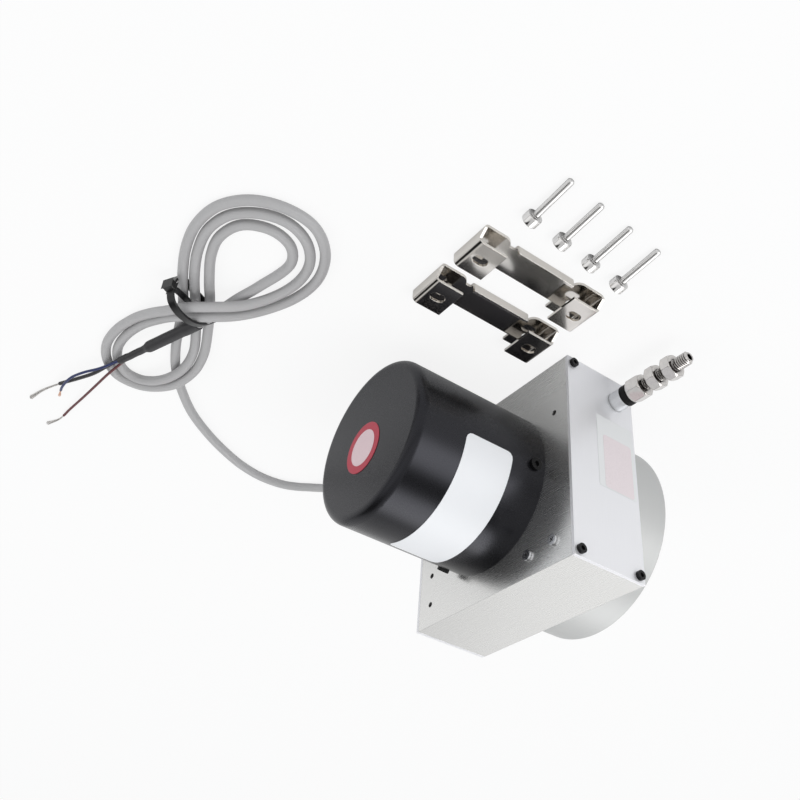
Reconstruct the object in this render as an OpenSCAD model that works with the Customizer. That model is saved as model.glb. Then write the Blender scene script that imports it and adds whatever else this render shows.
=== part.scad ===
// Draw wire encoder: a spring-driven wire drum in an extruded housing turns a
// multi-turn sensor under a round cover. The origin is the middle of the housing's
// base, +X is the way the wire leaves, +Y the way the round cover points.

/* [Housing] */
// Height of the housing, base to top
housing_h = 100; // [96:1:130]
// Width of the housing between its two broad faces
housing_w = 39; // [37:0.5:50]
// Length of the extrusion between its two end plates
housing_l = 100; // [94:1:130]
// Thickness of the two broad walls
side_wall = 3; // [2.5:0.5:3.5]
// Thickness of the base wall and the top wall
base_wall = 4; // [3:0.5:6]
// Thickness of each end plate
plate_t = 1.5; // [1:0.25:2.5]
// Distance of the end plate screws from the plate's edges
plate_screw_inset = 3.2; // [3:0.1:4]
// Diameter of the end plate screws
plate_screw_d = 2.5; // [2:0.5:3]
// Height of the drum axis above the base
axis_z = 49; // [48:0.5:54]
// Place of the drum axis along the housing, from its middle
axis_x = -2; // [-4:0.5:2]

/* [Mounting holes] */
// Diameter of the tapped holes in the base
base_hole_d = 3.3; // [2.5:0.1:4.2]
// Spacing of the base holes along the housing
base_hole_dx = 50; // [40:1:60]
// Spacing of the base holes across the housing
base_hole_dy = 20; // [14:1:22]
// Diameter of the tapped holes in the sensor side
side_hole_d = 2.5; // [2:0.1:3]
// Spacing of the pair of side holes
side_pair_dz = 14.5; // [10:0.5:16]

/* [Wire and drum] */
// Diameter of the wire rope
wire_d = 0.8; // [0.6:0.1:1]
// Radius of the drum to the middle of the wire
wrap_r = 36.5; // [35:0.5:38]
// Place of the wire across the housing
wire_y = -9.5; // [-11:0.5:-8]
// Turns of wire on the drum
wire_turns = 5; // [3:1:6]
// Pitch of the wire's turns
wire_pitch = 1.2; // [1.1:0.1:1.4]
// Height of the drum's flanges above the wire
flange_rise = 4.5; // [2:0.5:5]
// Thickness of the drum's rim
drum_rim_t = 4; // [3:0.5:6]
// Thickness of each drum flange
drum_flange_t = 2; // [1.5:0.25:2.5]
// Thickness of the drum's web
drum_web_t = 4; // [3:0.5:6]
// Diameter of the drum's hub
drum_hub_d = 22; // [18:1:26]
// Number of holes in the drum's web
drum_holes = 6; // [4:1:8]
// Diameter of the drum shaft
shaft_d = 8; // [6:1:9]
// Radial clearance of the shaft in its bearings
run_gap = 0.03; // [0.02:0.01:0.05]

/* [Bearings and flanges] */
// Outer diameter of the ball bearings
bearing_od = 16; // [15:0.5:18]
// Width of the ball bearings
bearing_w = 5; // [4:0.5:6]
// Number of balls in a bearing
bearing_balls = 9; // [6:1:9]
// Thickness of the flange that carries the round cover
cover_flange_t = 10; // [9:0.5:12]
// Diameter of the bearing flange on the spring side
spring_flange_d = 40; // [36:1:46]
// Thickness of the bearing flange on the spring side
spring_flange_t = 5; // [4:0.5:6]
// Diameter of the screws that hold the flanges
flange_screw_d = 3; // [2.5:0.5:3]

/* [Spring housing] */
// Outside diameter of the spring housing
spring_cup_d = 95; // [90:1:96]
// Depth of the spring housing
spring_cup_l = 25; // [23:0.5:32]
// Thickness of the spring housing's rim
spring_cup_rim = 7; // [6.5:0.25:8]
// Thickness of the spring housing's end
spring_cup_end = 2.5; // [2:0.25:3.5]
// Clearance of the spring and its arbor from the spring housing's two ends
spring_play = 1; // [0.5:0.25:2]
// Thickness of the spring strip
strip_t = 0.6; // [0.4:0.1:0.8]
// Turns of the spring strip
strip_turns = 7; // [5:1:8]
// Diameter of the spring's arbor
arbor_d = 20; // [16:1:22]

/* [Sensor cover] */
// Outside diameter of the round cover
cover_d = 76; // [74:1:80]
// Length of the round cover
cover_l = 66.5; // [64:0.5:80]
// Wall of the round cover
cover_wall = 2.2; // [1.8:0.1:3]
// Rounding of the cover's outer edge
cover_round = 4; // [3:0.5:5]
// Number of radial screws in the cover
cover_screws_n = 3; // [3:1:4]
// Angle of the first radial screw about the drum axis
cover_screw_angle = 7; // [0:1:20]
// Distance of the radial screws from the cover's open end
cover_screw_y = 6; // [5:0.5:7]
// Height of the label
label_h = 24.5; // [20:0.5:30]
// Angle that the label wraps
label_sweep = 105; // [80:1:120]
// Diameter of the round disc on the cover's end
disc_d = 24; // [20:1:34]

/* [Wire outlet] */
// Diameter of the outlet bush
bush_d = 9.4; // [8.5:0.1:10]
// Length of the outlet bush outside the end plate
bush_l = 6.5; // [5:0.5:9]
// Length of the rubber bumper outside the bush
bumper_l = 3.3; // [2.5:0.1:4.5]
// Diameter of the rubber bumper
bumper_d = 9.8; // [9.5:0.1:10.5]
// Gap between the bumper and the end fitting at rest
rest_gap = 0.4; // [0.3:0.05:0.6]

/* [End fitting] */
// Width across flats of the end fitting and its nuts
hex_af = 10; // [9:0.5:11]
// Length of the end fitting's hexagon
hex_l = 7.7; // [6:0.5:9]
// Diameter of the end fitting's stud
stud_d = 6; // [5:0.5:6]
// Length of the end fitting's stud
stud_l = 25.3; // [22:0.5:32]
// Thickness of the nuts on the stud
nut_t = 5; // [4:0.5:6]
// Distance of the first nut from the hexagon
nut_gap = 3.7; // [2:0.5:5]
// Free distance between the two nuts
nut_space = 4; // [2:0.5:5]

/* [Mounting kit] */
// Length of a bracket
bracket_l = 64; // [62:0.5:70]
// Width of a bracket's folded ends
bracket_w = 16.2; // [15:0.2:18]
// Height of a bracket's folded ends
bracket_h = 7.5; // [6:0.5:10]
// Sheet thickness of the brackets
bracket_t = 1.2; // [1:0.1:1.6]
// Length of a bracket's folded end plate
bracket_fold_l = 14; // [12:0.5:14.5]
// Spacing of a bracket's slots
bracket_slot_dy = 50; // [48:0.5:52]
// Length of a slot
slot_l = 7; // [6:0.5:8]
// Width of a slot
slot_w = 4.5; // [4:0.1:5]
// Diameter of the bracket screws
kit_screw_d = 3; // [3:0.5:4]
// Diameter of the bracket screws' heads
kit_head_d = 7; // [6:0.5:8]
// Length of the bracket screws under the head
kit_screw_l = 20; // [16:1:30]

/* [Cable] */
// Diameter of the cable
cable_d = 4.5; // [4:0.1:4.6]
// Diameter of the heat-shrink sleeve over the cable's end
sleeve_d = 5.8; // [5.4:0.1:6.4]
// Diameter of the sleeve's shrunk neck
sleeve_neck_d = 3.4; // [3.2:0.1:4]
// Diameter of an insulated core
core_d = 1.3; // [1:0.1:1.4]
// Diameter of the shield's sleeved drain wire
shield_d = 1.8; // [1.4:0.1:2]
// Width of the cable tie's strap
tie_w = 3.6; // [2.5:0.1:5]
// Thickness of the cable tie's strap
tie_t = 1; // [0.8:0.1:1.1]
// Diameter of the gland's nut
gland_d = 12; // [10:0.5:14]
// Distance of the gland from the housing's face
gland_y = 16.5; // [14:0.5:20]

/* [Hidden] */
$fn = 64;
cut = 1;

function unit(v) = v / norm(v);
half_w = housing_w / 2;
half_l = housing_l / 2;
plate_x = half_l + plate_t;
wire_z = axis_z - wrap_r;
cup_end_y = -half_w - spring_cup_l;

// A part on the drum axis, starting at a distance across the housing
module on_axis(y) { translate([axis_x, y, axis_z]) rotate([-90, 0, 0]) children(); }
// A part that runs along +X from a point
module along_x(p) { translate(p) rotate([0, 90, 0]) children(); }
// Copies on a circle about the drum axis
module ring_of(n, r, first = 0) {
    for (i = [0:n - 1]) rotate([0, 0, first + i * 360 / n]) translate([r, 0, 0]) children();
}
// A tube or washer
module pipe(ro, ri, h) {
    difference() {
        cylinder(r = ro, h = h);
        translate([0, 0, -cut]) cylinder(r = ri, h = h + 2 * cut);
    }
}
// A screw along -Z, the underside of its head at z = 0, with a hexagon socket
module cap_screw(d, l, head_d, head_h) {
    difference() {
        union() {
            translate([0, 0, -l]) cylinder(d = d, h = l + cut / 2);
            cylinder(d = head_d, h = head_h);
        }
        translate([0, 0, head_h * 0.45]) cylinder(d = d * 0.9, h = head_h, $fn = 6);
    }
}

/* Housing: an extruded tube with a screw channel in each corner */
channel = 7.5;
shell_gap = 0.15;
corner_y = half_w - plate_screw_inset;
corners = [for (s = [-1, 1], z = [plate_screw_inset, housing_h - plate_screw_inset]) [s * corner_y, z]];
plate_screw_l = 10;
spigot_d = 26;
bush_bore_d = bush_d + 0.1;

module housing_section() {
    difference() {
        translate([-half_w, 0]) square([housing_w, housing_h]);
        difference() {
            translate([-half_w + side_wall, base_wall])
                square([housing_w - 2 * side_wall, housing_h - 2 * base_wall]);
            for (s = [-1, 1], z = [0, housing_h - channel])
                translate([s > 0 ? half_w - channel : -half_w, z]) square([channel, channel]);
        }
    }
}
module housing() {
    color("silver") difference() {
        // the section is drawn in Y and Z and runs along X
        translate([-half_l, 0, 0]) rotate([90, 0, 90]) linear_extrude(housing_l) housing_section();
        for (s = [0, 1], c = corners)
            along_x([s ? half_l - plate_screw_l : -half_l - cut, c[0], c[1]])
                cylinder(d = plate_screw_d + shell_gap, h = plate_screw_l + cut);
        on_axis(half_w - side_wall - cut) cylinder(d = spigot_d, h = side_wall + 2 * cut);
        on_axis(-half_w - cut) cylinder(d = spigot_d, h = side_wall + 2 * cut);
        for (x = [-1, 1], y = [-1, 1])
            translate([x * base_hole_dx / 2, y * base_hole_dy / 2, -cut])
                cylinder(d = base_hole_d, h = base_wall + 2 * cut);
        for (p = side_holes) translate([p[0], half_w + cut, p[1]]) rotate([90, 0, 0])
            cylinder(d = side_hole_d, h = side_wall + 2 * cut);
        for (p = face_screw_places) translate([p[0], half_w + cut, p[1]]) rotate([90, 0, 0])
            cylinder(d = face_screw_d + shell_gap, h = side_wall + 2 * cut);
        on_axis(half_w - side_wall - cut) ring_of(3, cover_flange_screw_r, flange_screw_angle)
            cylinder(d = flange_screw_d + shell_gap, h = side_wall + 2 * cut);
        on_axis(-half_w - cut) ring_of(3, spring_flange_screw_r, flange_screw_angle)
            cylinder(d = flange_screw_d + shell_gap, h = side_wall + 2 * cut);
        on_axis(-half_w - cut) ring_of(4, cup_screw_r, 45)
            cylinder(d = cup_screw_d + shell_gap, h = side_wall + 2 * cut);
    }
}
// a pair of holes near the rear edge and one near the outlet, on the sensor side
side_x = half_l - 8;
side_pair_z = housing_h - 18;
side_single_z = 27;
side_holes = [[-side_x, side_pair_z - side_pair_dz / 2], [-side_x, side_pair_z + side_pair_dz / 2],
    [side_x, side_single_z]];

/* End plates */
module end_plate() {
    difference() {
        translate([0, -half_w, 0]) cube([plate_t, housing_w, housing_h]);
        for (c = corners) along_x([-cut, c[0], c[1]])
            cylinder(d = plate_screw_d + shell_gap, h = plate_t + 2 * cut);
    }
}
module outlet_plate() {
    color("gainsboro") difference() {
        translate([half_l, 0, 0]) end_plate();
        along_x([half_l - cut, wire_y, wire_z])
            cylinder(d = bush_neck_d + shell_gap, h = plate_t + 2 * cut);
    }
}
module rear_plate() {
    color("gainsboro") translate([-plate_x, 0, 0]) end_plate();
}
plate_head_d = plate_screw_d * 1.7;
plate_head_h = 1.5;
module end_plate_screws() {
    color("black") for (s = [0, 1], c = corners)
        translate([s ? plate_x : -plate_x, c[0], c[1]]) rotate([0, s ? 90 : -90, 0])
            cap_screw(plate_screw_d, plate_screw_l, plate_head_d, plate_head_h);
}

/* Two small pan-head screws in the sensor side, which hold the drum's wire stop */
face_screw_d = 2.5;
face_screw_places = [[half_l - 10.3, housing_h - 10.7], [half_l - 25.5, housing_h - 9.7]];
module face_screws() {
    color("lightgray") for (p = face_screw_places)
        translate([p[0], half_w, p[1]]) rotate([-90, 0, 0]) difference() {
            union() {
                translate([0, 0, -6]) cylinder(d = face_screw_d, h = 6 + cut / 2);
                cylinder(d = 4.6, h = 1.1);
            }
            for (a = [45, 135]) rotate([0, 0, a])
                translate([-1.25, -0.3, 0.4]) cube([2.5, 0.6, 2]);
        }
}

/* Bearing flanges */
cover_screw_d = 3;
cover_screw_l = 6;
cover_head_d = 5.5;
cover_head_h = 1.8;
spot_depth = 0.2;
cover_flange_d = cover_d - 2 * cover_wall - 2 * shell_gap;
spring_flange_screw_r = spring_flange_d / 2 - 4;
bearing_back = 1.5;
pocket_r = 17;
// the pocket stays clear of the cover's screws
pocket_out_r = cover_d / 2 - spot_depth - cover_screw_l - 1.2;
cover_flange_screw_r = pocket_out_r - 6.6;
flange_screw_angle = 30;
pocket_depth = 3;
pocket_y = half_w + cover_flange_t - pocket_depth;
// half length between the outer faces of the bearings
bearing_y = half_w - side_wall + bearing_back;

module cover_flange() {
    color("silver") difference() {
        on_axis(half_w) union() {
            cylinder(d = cover_flange_d, h = cover_flange_t);
            translate([0, 0, -side_wall]) cylinder(d = spigot_d - shell_gap, h = side_wall);
        }
        on_axis(bearing_y - bearing_back - cut) cylinder(d = bearing_od, h = bearing_w + bearing_back + cut);
        on_axis(half_w - side_wall - cut) cylinder(d = shaft_d + 2, h = cover_flange_t + side_wall + 2 * cut);
        // a ring-shaped pocket takes the screws and the standoffs
        on_axis(pocket_y) pipe(pocket_out_r, pocket_r, cover_flange_t);
        on_axis(half_w - cut) ring_of(3, cover_flange_screw_r, flange_screw_angle)
            cylinder(d = flange_screw_d + shell_gap, h = cover_flange_t);
        on_axis(half_w + cover_screw_y) ring_of(cover_screws_n, pocket_out_r + 0.6, -cover_screw_angle)
            rotate([0, 90, 0]) cylinder(d = cover_screw_d + shell_gap, h = cover_screw_l);
        for (a = [standoff_angle, board_standoff_angle]) on_axis(pocket_y - standoff_thread_l)
            ring_of(3, standoff_r, a) cylinder(d = standoff_thread_d + 0.1, h = standoff_thread_l + cut);
    }
}
module spring_flange() {
    color("silver") difference() {
        union() {
            on_axis(-half_w - spring_flange_t) cylinder(d = spring_flange_d, h = spring_flange_t);
            on_axis(-half_w) cylinder(d = spigot_d - shell_gap, h = side_wall);
        }
        on_axis(-bearing_y - bearing_w) cylinder(d = bearing_od, h = bearing_w + bearing_back + cut);
        on_axis(-half_w - spring_flange_t - cut)
            cylinder(d = shaft_d + 2, h = spring_flange_t + side_wall + 2 * cut);
        on_axis(-half_w - spring_flange_t - cut) ring_of(3, spring_flange_screw_r, flange_screw_angle)
            cylinder(d = flange_screw_d + shell_gap, h = spring_flange_t + 2 * cut);
        on_axis(-half_w - spring_flange_t - cut) ring_of(3, spring_flange_screw_r, flange_screw_angle)
            cylinder(d = flange_head_d + 0.3, h = flange_head_h + cut);
    }
}
flange_head_d = flange_screw_d + 2.5;
flange_head_h = 1.7;
module flange_screws() {
    color("dimgray") {
        on_axis(pocket_y) ring_of(3, cover_flange_screw_r, flange_screw_angle)
            cap_screw(flange_screw_d, pocket_y - half_w + side_wall, flange_head_d, flange_head_h);
        on_axis(-half_w - spring_flange_t + flange_head_h) mirror([0, 0, 1])
            ring_of(3, spring_flange_screw_r, flange_screw_angle)
                cap_screw(flange_screw_d, side_wall + spring_flange_t - flange_head_h,
                    flange_head_d, flange_head_h);
    }
}

// A ball bearing along +Z: two grooved rings and a row of balls
module ball_bearing() {
    ri = shaft_d / 2 + run_gap;
    ro = bearing_od / 2 - 0.01;
    pitch = (ri + ro) / 2;
    ball = 0.3 * (ro - ri);
    difference() {
        pipe(ro, ri, bearing_w);
        translate([0, 0, -cut]) pipe(pitch + ball * 0.55, pitch - ball * 0.55, bearing_w + 2 * cut);
        translate([0, 0, bearing_w / 2]) rotate_extrude() translate([pitch, 0]) circle(r = ball + 0.05);
    }
    translate([0, 0, bearing_w / 2]) ring_of(bearing_balls, pitch) sphere(r = ball);
}
module front_bearing() { color("lightsteelblue") on_axis(bearing_y) ball_bearing(); }
module rear_bearing() { color("lightsteelblue") on_axis(-bearing_y - bearing_w) ball_bearing(); }

/* Drum, shaft and spring: all that turns with the wire */
drum_gap = 1.5;
drum_low = -half_w + side_wall + drum_gap;
winding_low = drum_low + drum_flange_t;
winding_w = 2 * (wire_y - winding_low) + wire_turns * wire_pitch + 3;
drum_core_r = wrap_r - wire_d / 2 - 0.2;
module drum() {
    color("whitesmoke") difference() {
        on_axis(drum_low) union() {
            pipe(drum_core_r, drum_core_r - drum_rim_t, winding_w + 2 * drum_flange_t);
            for (z = [0, winding_w + drum_flange_t]) translate([0, 0, z])
                pipe(wrap_r + flange_rise, drum_core_r - drum_rim_t, drum_flange_t);
            translate([0, 0, winding_w / 2]) cylinder(r = drum_core_r - drum_rim_t / 2, h = drum_web_t);
            translate([0, 0, 1]) cylinder(d = drum_hub_d, h = winding_w);
        }
        on_axis(drum_low - cut) cylinder(d = shaft_d + 0.04, h = winding_w + 20);
        on_axis(drum_low - cut) ring_of(drum_holes, (drum_hub_d / 2 + drum_core_r - drum_rim_t) / 2)
            cylinder(d = 11, h = winding_w + 20);
        on_axis(drum_low + hub_grub_z) rotate([0, 90, 0]) cylinder(d = grub_d + 0.1, h = drum_hub_d);
    }
}
grub_d = 3;
hub_grub_z = 4.5;

shaft_low = cup_end_y + spring_cup_end + spring_play;
shaft_high = half_w + cover_flange_t + 9;
module drum_shaft() {
    color("lightgray") on_axis(shaft_low) difference() {
        cylinder(d = shaft_d, h = shaft_high - shaft_low);
        for (y = ring_places) translate([0, 0, y - shaft_low])
            pipe(shaft_d, shaft_d / 2 - ring_depth, ring_t);
        translate([-0.5, -shaft_d, -cut]) cube([1, 2 * shaft_d, arbor_l / 2]);
    }
}
ring_t = 0.8;
ring_depth = 0.4;
ring_places = [bearing_y - bearing_back - ring_t - 0.4, -bearing_y + bearing_back + 0.4];
module retaining_rings() {
    color("dimgray") for (y = ring_places) on_axis(y + 0.02) difference() {
        pipe(shaft_d / 2 + 1.2, shaft_d / 2 - ring_depth + 0.02, ring_t - 0.04);
        translate([0, -1.4, -cut]) cube([shaft_d, 2.8, ring_t + 2 * cut]);
    }
}
arbor_low = shaft_low + 0.5;
arbor_l = -half_w - spring_flange_t - spring_play - arbor_low;
strip_w = arbor_l - 1;
module spring_arbor() {
    color("lightgray") on_axis(arbor_low) difference() {
        cylinder(d = arbor_d, h = arbor_l);
        translate([0, 0, -cut]) cylinder(d = shaft_d + 0.04, h = arbor_l + 2 * cut);
        // the slot that takes the strip's inner end
        translate([-arbor_d, arbor_d / 2 - 2.4, -cut]) cube([arbor_d, 1, arbor_l + 2 * cut]);
        translate([0, 0, arbor_l / 2]) rotate([0, 90, 0]) cylinder(d = grub_d + 0.1, h = arbor_d);
    }
}
module grub_screws() {
    color("dimgray") {
        on_axis(drum_low + hub_grub_z) grub(drum_hub_d / 2);
        on_axis(arbor_low + arbor_l / 2) grub(arbor_d / 2);
    }
}
// A set screw that ends on the shaft
module grub(hub_r) {
    from = shaft_d / 2 + 0.02;
    rotate([0, 90, 0]) translate([0, 0, from]) difference() {
        cylinder(d = grub_d, h = hub_r - from - 0.3);
        translate([0, 0, hub_r - from - 1.8]) cylinder(d = grub_d / 2, h = 3, $fn = 6);
    }
}

// A tube swept along a list of points; up is never along the path
function tangent(p, i) = unit(p[min(i + 1, len(p) - 1)] - p[max(i - 1, 0)]);
function ring_points(p, i, r, sides, up) =
    let (t = tangent(p, i), a = unit(cross(up, t)), b = cross(t, a))
    [for (k = [0:sides - 1]) p[i] + r * (cos(k * 360 / sides) * a + sin(k * 360 / sides) * b)];
module tube_along(p, r, sides, up = [0, 0, 1]) {
    last = (len(p) - 1) * sides;
    polyhedron(
        points = [for (i = [0:len(p) - 1], q = ring_points(p, i, r, sides, up)) q],
        faces = concat(
            [[for (k = [0:sides - 1]) k]],
            [[for (k = [sides - 1:-1:0]) last + k]],
            [for (i = [0:len(p) - 2], k = [0:sides - 1])
                [i * sides + k, (i + 1) * sides + k, (i + 1) * sides + (k + 1) % sides]],
            [for (i = [0:len(p) - 2], k = [0:sides - 1])
                [i * sides + k, (i + 1) * sides + (k + 1) % sides, i * sides + (k + 1) % sides]]));
}

winding_steps = 40;
// the turns start at the drum's lowest point, where the wire leaves it
winding = [for (i = [0:winding_steps * wire_turns])
    let (a = i * 360 / winding_steps)
    [axis_x - wrap_r * sin(a), wire_y + wire_pitch * i / winding_steps, axis_z - wrap_r * cos(a)]];
module wire_winding() { color("gray") tube_along(winding, wire_d / 2, 6, [0, 1, 0]); }

// The spring strip is an evenly pitched spiral between the arbor and the cup
strip_in = arbor_d / 2 + 1.2;
strip_out = spring_cup_d / 2 - spring_cup_rim - 0.05;
strip_steps = 30;
function strip_r(i) = strip_in + (strip_out - strip_t - strip_in) * i / (strip_steps * strip_turns);
function strip_side(add) = [for (i = [0:strip_steps * strip_turns])
    (strip_r(i) + add) * [cos(i * 360 / strip_steps), sin(i * 360 / strip_steps)]];
module main_spring() {
    inner = strip_side(0);
    outer = strip_side(strip_t);
    color("steelblue") on_axis(arbor_low + 0.5) linear_extrude(strip_w)
        polygon(concat(inner, [for (i = [len(outer) - 1:-1:0]) outer[i]]));
}

cup_screw_d = 3;
cup_screw_r = spring_cup_d / 2 - spring_cup_rim / 2;
cup_head_d = 5.5;
cup_head_h = 3;
cup_head_seat = cup_head_h + 0.2;
cup_chamfer = 0.8;
module spring_housing() {
    r = spring_cup_d / 2;
    color("silver") on_axis(cup_end_y) difference() {
        // half section of the cup, its closed end chamfered
        rotate_extrude($fn = 96) polygon([[0, 0], [r - cup_chamfer, 0], [r, cup_chamfer], [r, spring_cup_l],
            [r - spring_cup_rim, spring_cup_l], [r - spring_cup_rim, spring_cup_end], [0, spring_cup_end]]);
        translate([0, 0, -cut]) ring_of(4, cup_screw_r, 45) {
            cylinder(d = cup_screw_d + shell_gap, h = spring_cup_l + 2 * cut);
            cylinder(d = cup_head_d + 0.4, h = cup_head_seat + cut);
        }
    }
}
module spring_housing_screws() {
    color("black") on_axis(cup_end_y + cup_head_seat) mirror([0, 0, 1]) ring_of(4, cup_screw_r, -45)
        cap_screw(cup_screw_d, spring_cup_l - cup_head_seat + side_wall, cup_head_d, cup_head_h);
}

/* Sensor and electronics under the cover */
sensor_shaft_d = 6;
coupling_d = 18;
coupling_l = 20;
coupling_low = shaft_high - 8;
standoff_r = pocket_out_r - 3.6;
standoff_af = 5.2;
standoff_angle = 90;
board_standoff_angle = 50;
standoff_thread_d = 2.5;
standoff_thread_l = 3;
bracket_y = coupling_low + coupling_l + 2;
sensor_plate_t = 2;
sensor_d = 22;
sensor_l = 18;
board_y = bracket_y + sensor_plate_t + sensor_l + 3;
board_t = 1.6;
board_d = cover_d - 12;
module shaft_coupling() {
    color("silver") on_axis(coupling_low) difference() {
        cylinder(d = coupling_d, h = coupling_l);
        translate([0, 0, -cut]) cylinder(d = shaft_d + 0.04, h = shaft_high - coupling_low + cut);
        translate([0, 0, shaft_high - coupling_low - cut / 2])
            cylinder(d = sensor_shaft_d + 0.04, h = coupling_l);
        // slits that let the middle flex
        for (i = [0:3]) translate([0, 0, 7.6 + i * 1.3]) difference() {
            cylinder(d = coupling_d + 2, h = 0.6);
            rotate([0, 0, i * 90]) translate([-coupling_d, -2.6, -cut]) cube([2 * coupling_d, 5.2, 3]);
            translate([0, 0, -cut]) cylinder(d = sensor_shaft_d + 5.5, h = 3);
        }
    }
}
module sensor_shaft() {
    from = shaft_high + 1;
    color("lightgray") on_axis(from)
        cylinder(d = sensor_shaft_d, h = bracket_y + sensor_plate_t + sensor_l - 4 - from);
}
nose_d = 9.4;
module multiturn_sensor() {
    color("royalblue") on_axis(bracket_y + sensor_plate_t) difference() {
        union() {
            cylinder(d = sensor_d, h = sensor_l);
            translate([0, 0, -sensor_plate_t]) cylinder(d = nose_d, h = sensor_plate_t + cut / 2);
            // three solder tags
            for (a = [-25, 0, 25]) rotate([0, 0, a]) translate([-1, sensor_d / 2 - 1, sensor_l - 5])
                cube([2, 4, 0.8]);
        }
        translate([0, 0, -sensor_plate_t - cut])
            cylinder(d = sensor_shaft_d + 2 * run_gap, h = sensor_l + sensor_plate_t + cut - 3);
    }
}
module sensor_bracket() {
    color("gainsboro") on_axis(bracket_y) difference() {
        cylinder(d = board_d, h = sensor_plate_t);
        translate([0, 0, -cut]) {
            cylinder(d = nose_d + 0.1, h = sensor_plate_t + 2 * cut);
            ring_of(3, standoff_r, standoff_angle)
                cylinder(d = standoff_thread_d + 0.1, h = sensor_plate_t + 2 * cut);
            ring_of(3, standoff_r, board_standoff_angle)
                cylinder(d = standoff_af / cos(30) + 0.6, h = sensor_plate_t + 2 * cut);
        }
    }
}
// A hexagon pillar from the flange's pocket to a plate, with its threaded end and screw
module standoff(top, plate) {
    cylinder(d = standoff_af / cos(30), h = top - pocket_y, $fn = 6);
    translate([0, 0, -standoff_thread_l])
        cylinder(d = standoff_thread_d, h = standoff_thread_l + top - pocket_y + plate + cut / 2);
    translate([0, 0, top - pocket_y + plate]) cylinder(d = 4.6, h = 1.4);
}
module sensor_standoffs() {
    color("goldenrod") on_axis(pocket_y) ring_of(3, standoff_r, standoff_angle)
        standoff(bracket_y, sensor_plate_t);
}
module board_standoffs() {
    color("goldenrod") on_axis(pocket_y) ring_of(3, standoff_r, board_standoff_angle)
        standoff(board_y, board_t);
}
module circuit_board() {
    color("darkgreen") on_axis(board_y) difference() {
        cylinder(d = board_d, h = board_t);
        translate([0, 0, -cut]) ring_of(3, standoff_r, board_standoff_angle)
            cylinder(d = standoff_thread_d + 0.1, h = board_t + 2 * cut);
    }
}
block_w = 15;
block_x = 8 - board_d / 2;
module terminal_block() {
    color("limegreen") on_axis(board_y + board_t) translate([block_x, -6, 0]) difference() {
        cube([8, block_w, 5]);
        for (i = [0:2]) translate([-cut, 1.2 + i * 4.7, 1]) cube([4, 3.2, 3]);
        for (i = [0:2]) translate([5.6, 2.8 + i * 4.7, 3]) cylinder(d = 2.6, h = 4);
    }
}

/* Cover */
module cover_profile(r, l, round) {
    // half outline from the axis: square edge at the open end, round at the closed one
    square([r, l - round]);
    square([r - round, l]);
    translate([r - round, l - round]) circle(r = round);
}
module sensor_cover() {
    color("dimgray") difference() {
        on_axis(half_w) rotate_extrude() cover_profile(cover_d / 2, cover_l, cover_round);
        on_axis(half_w - cut) rotate_extrude()
            cover_profile(cover_d / 2 - cover_wall, cover_l - cover_wall + cut, cover_round - 1.5);
        on_axis(half_w + cover_screw_y) ring_of(cover_screws_n, cover_d / 2 - spot_depth, -cover_screw_angle)
            rotate([0, 90, 0]) {
                translate([0, 0, -cover_wall]) cylinder(d = cover_screw_d + shell_gap, h = cover_wall + cut);
                cylinder(d = cover_head_d + 0.4, h = cut);
            }
        // a flat seat and a hole for the gland
        gland_axis(gland_x + gland_seat) cylinder(d = gland_d + 0.6, h = gland_seat + cut);
        gland_axis(gland_x + gland_in) cylinder(d = gland_thread_d + shell_gap, h = gland_in + cut);
    }
}
module cover_screws() {
    color("black") on_axis(half_w + cover_screw_y)
        ring_of(cover_screws_n, cover_d / 2 - spot_depth, -cover_screw_angle)
            rotate([0, 90, 0]) cap_screw(cover_screw_d, cover_screw_l, cover_head_d, cover_head_h);
}
label_t = 0.15;
label_y = 18;
label_from = 7;
label_corner = 3;
label_gap = 0.05;
// The label is a thin sleeve cut to its sweep, with rounded corners
module cover_label() {
    color("white") on_axis(half_w + label_y) rotate([0, 0, -label_from - label_sweep]) difference() {
        rotate_extrude(angle = label_sweep) translate([cover_d / 2 + label_gap, 0]) square([label_t, label_h]);
        for (m = [0, 1], n = [0, 1]) rotate([0, 0, m * label_sweep]) translate([0, 0, n * label_h])
            mirror([0, m, 0]) mirror([0, 0, n]) rotate([90, 0, 90]) linear_extrude(cover_d)
                corner_cutter(label_corner);
    }
}
// What lies outside a rounded corner, a little clear of the two edges it meets
module corner_cutter(r) {
    difference() {
        translate([-cut, -cut]) square(r + cut);
        translate([r - 0.05, r - 0.05]) circle(r = r, $fn = 12);
    }
}
disc_dx = -3;
disc_dz = 3;
module cover_disc() {
    color("firebrick") on_axis(half_w + cover_l) translate([disc_dx, -disc_dz, 0])
        cylinder(d = disc_d, h = 0.2);
}

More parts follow.
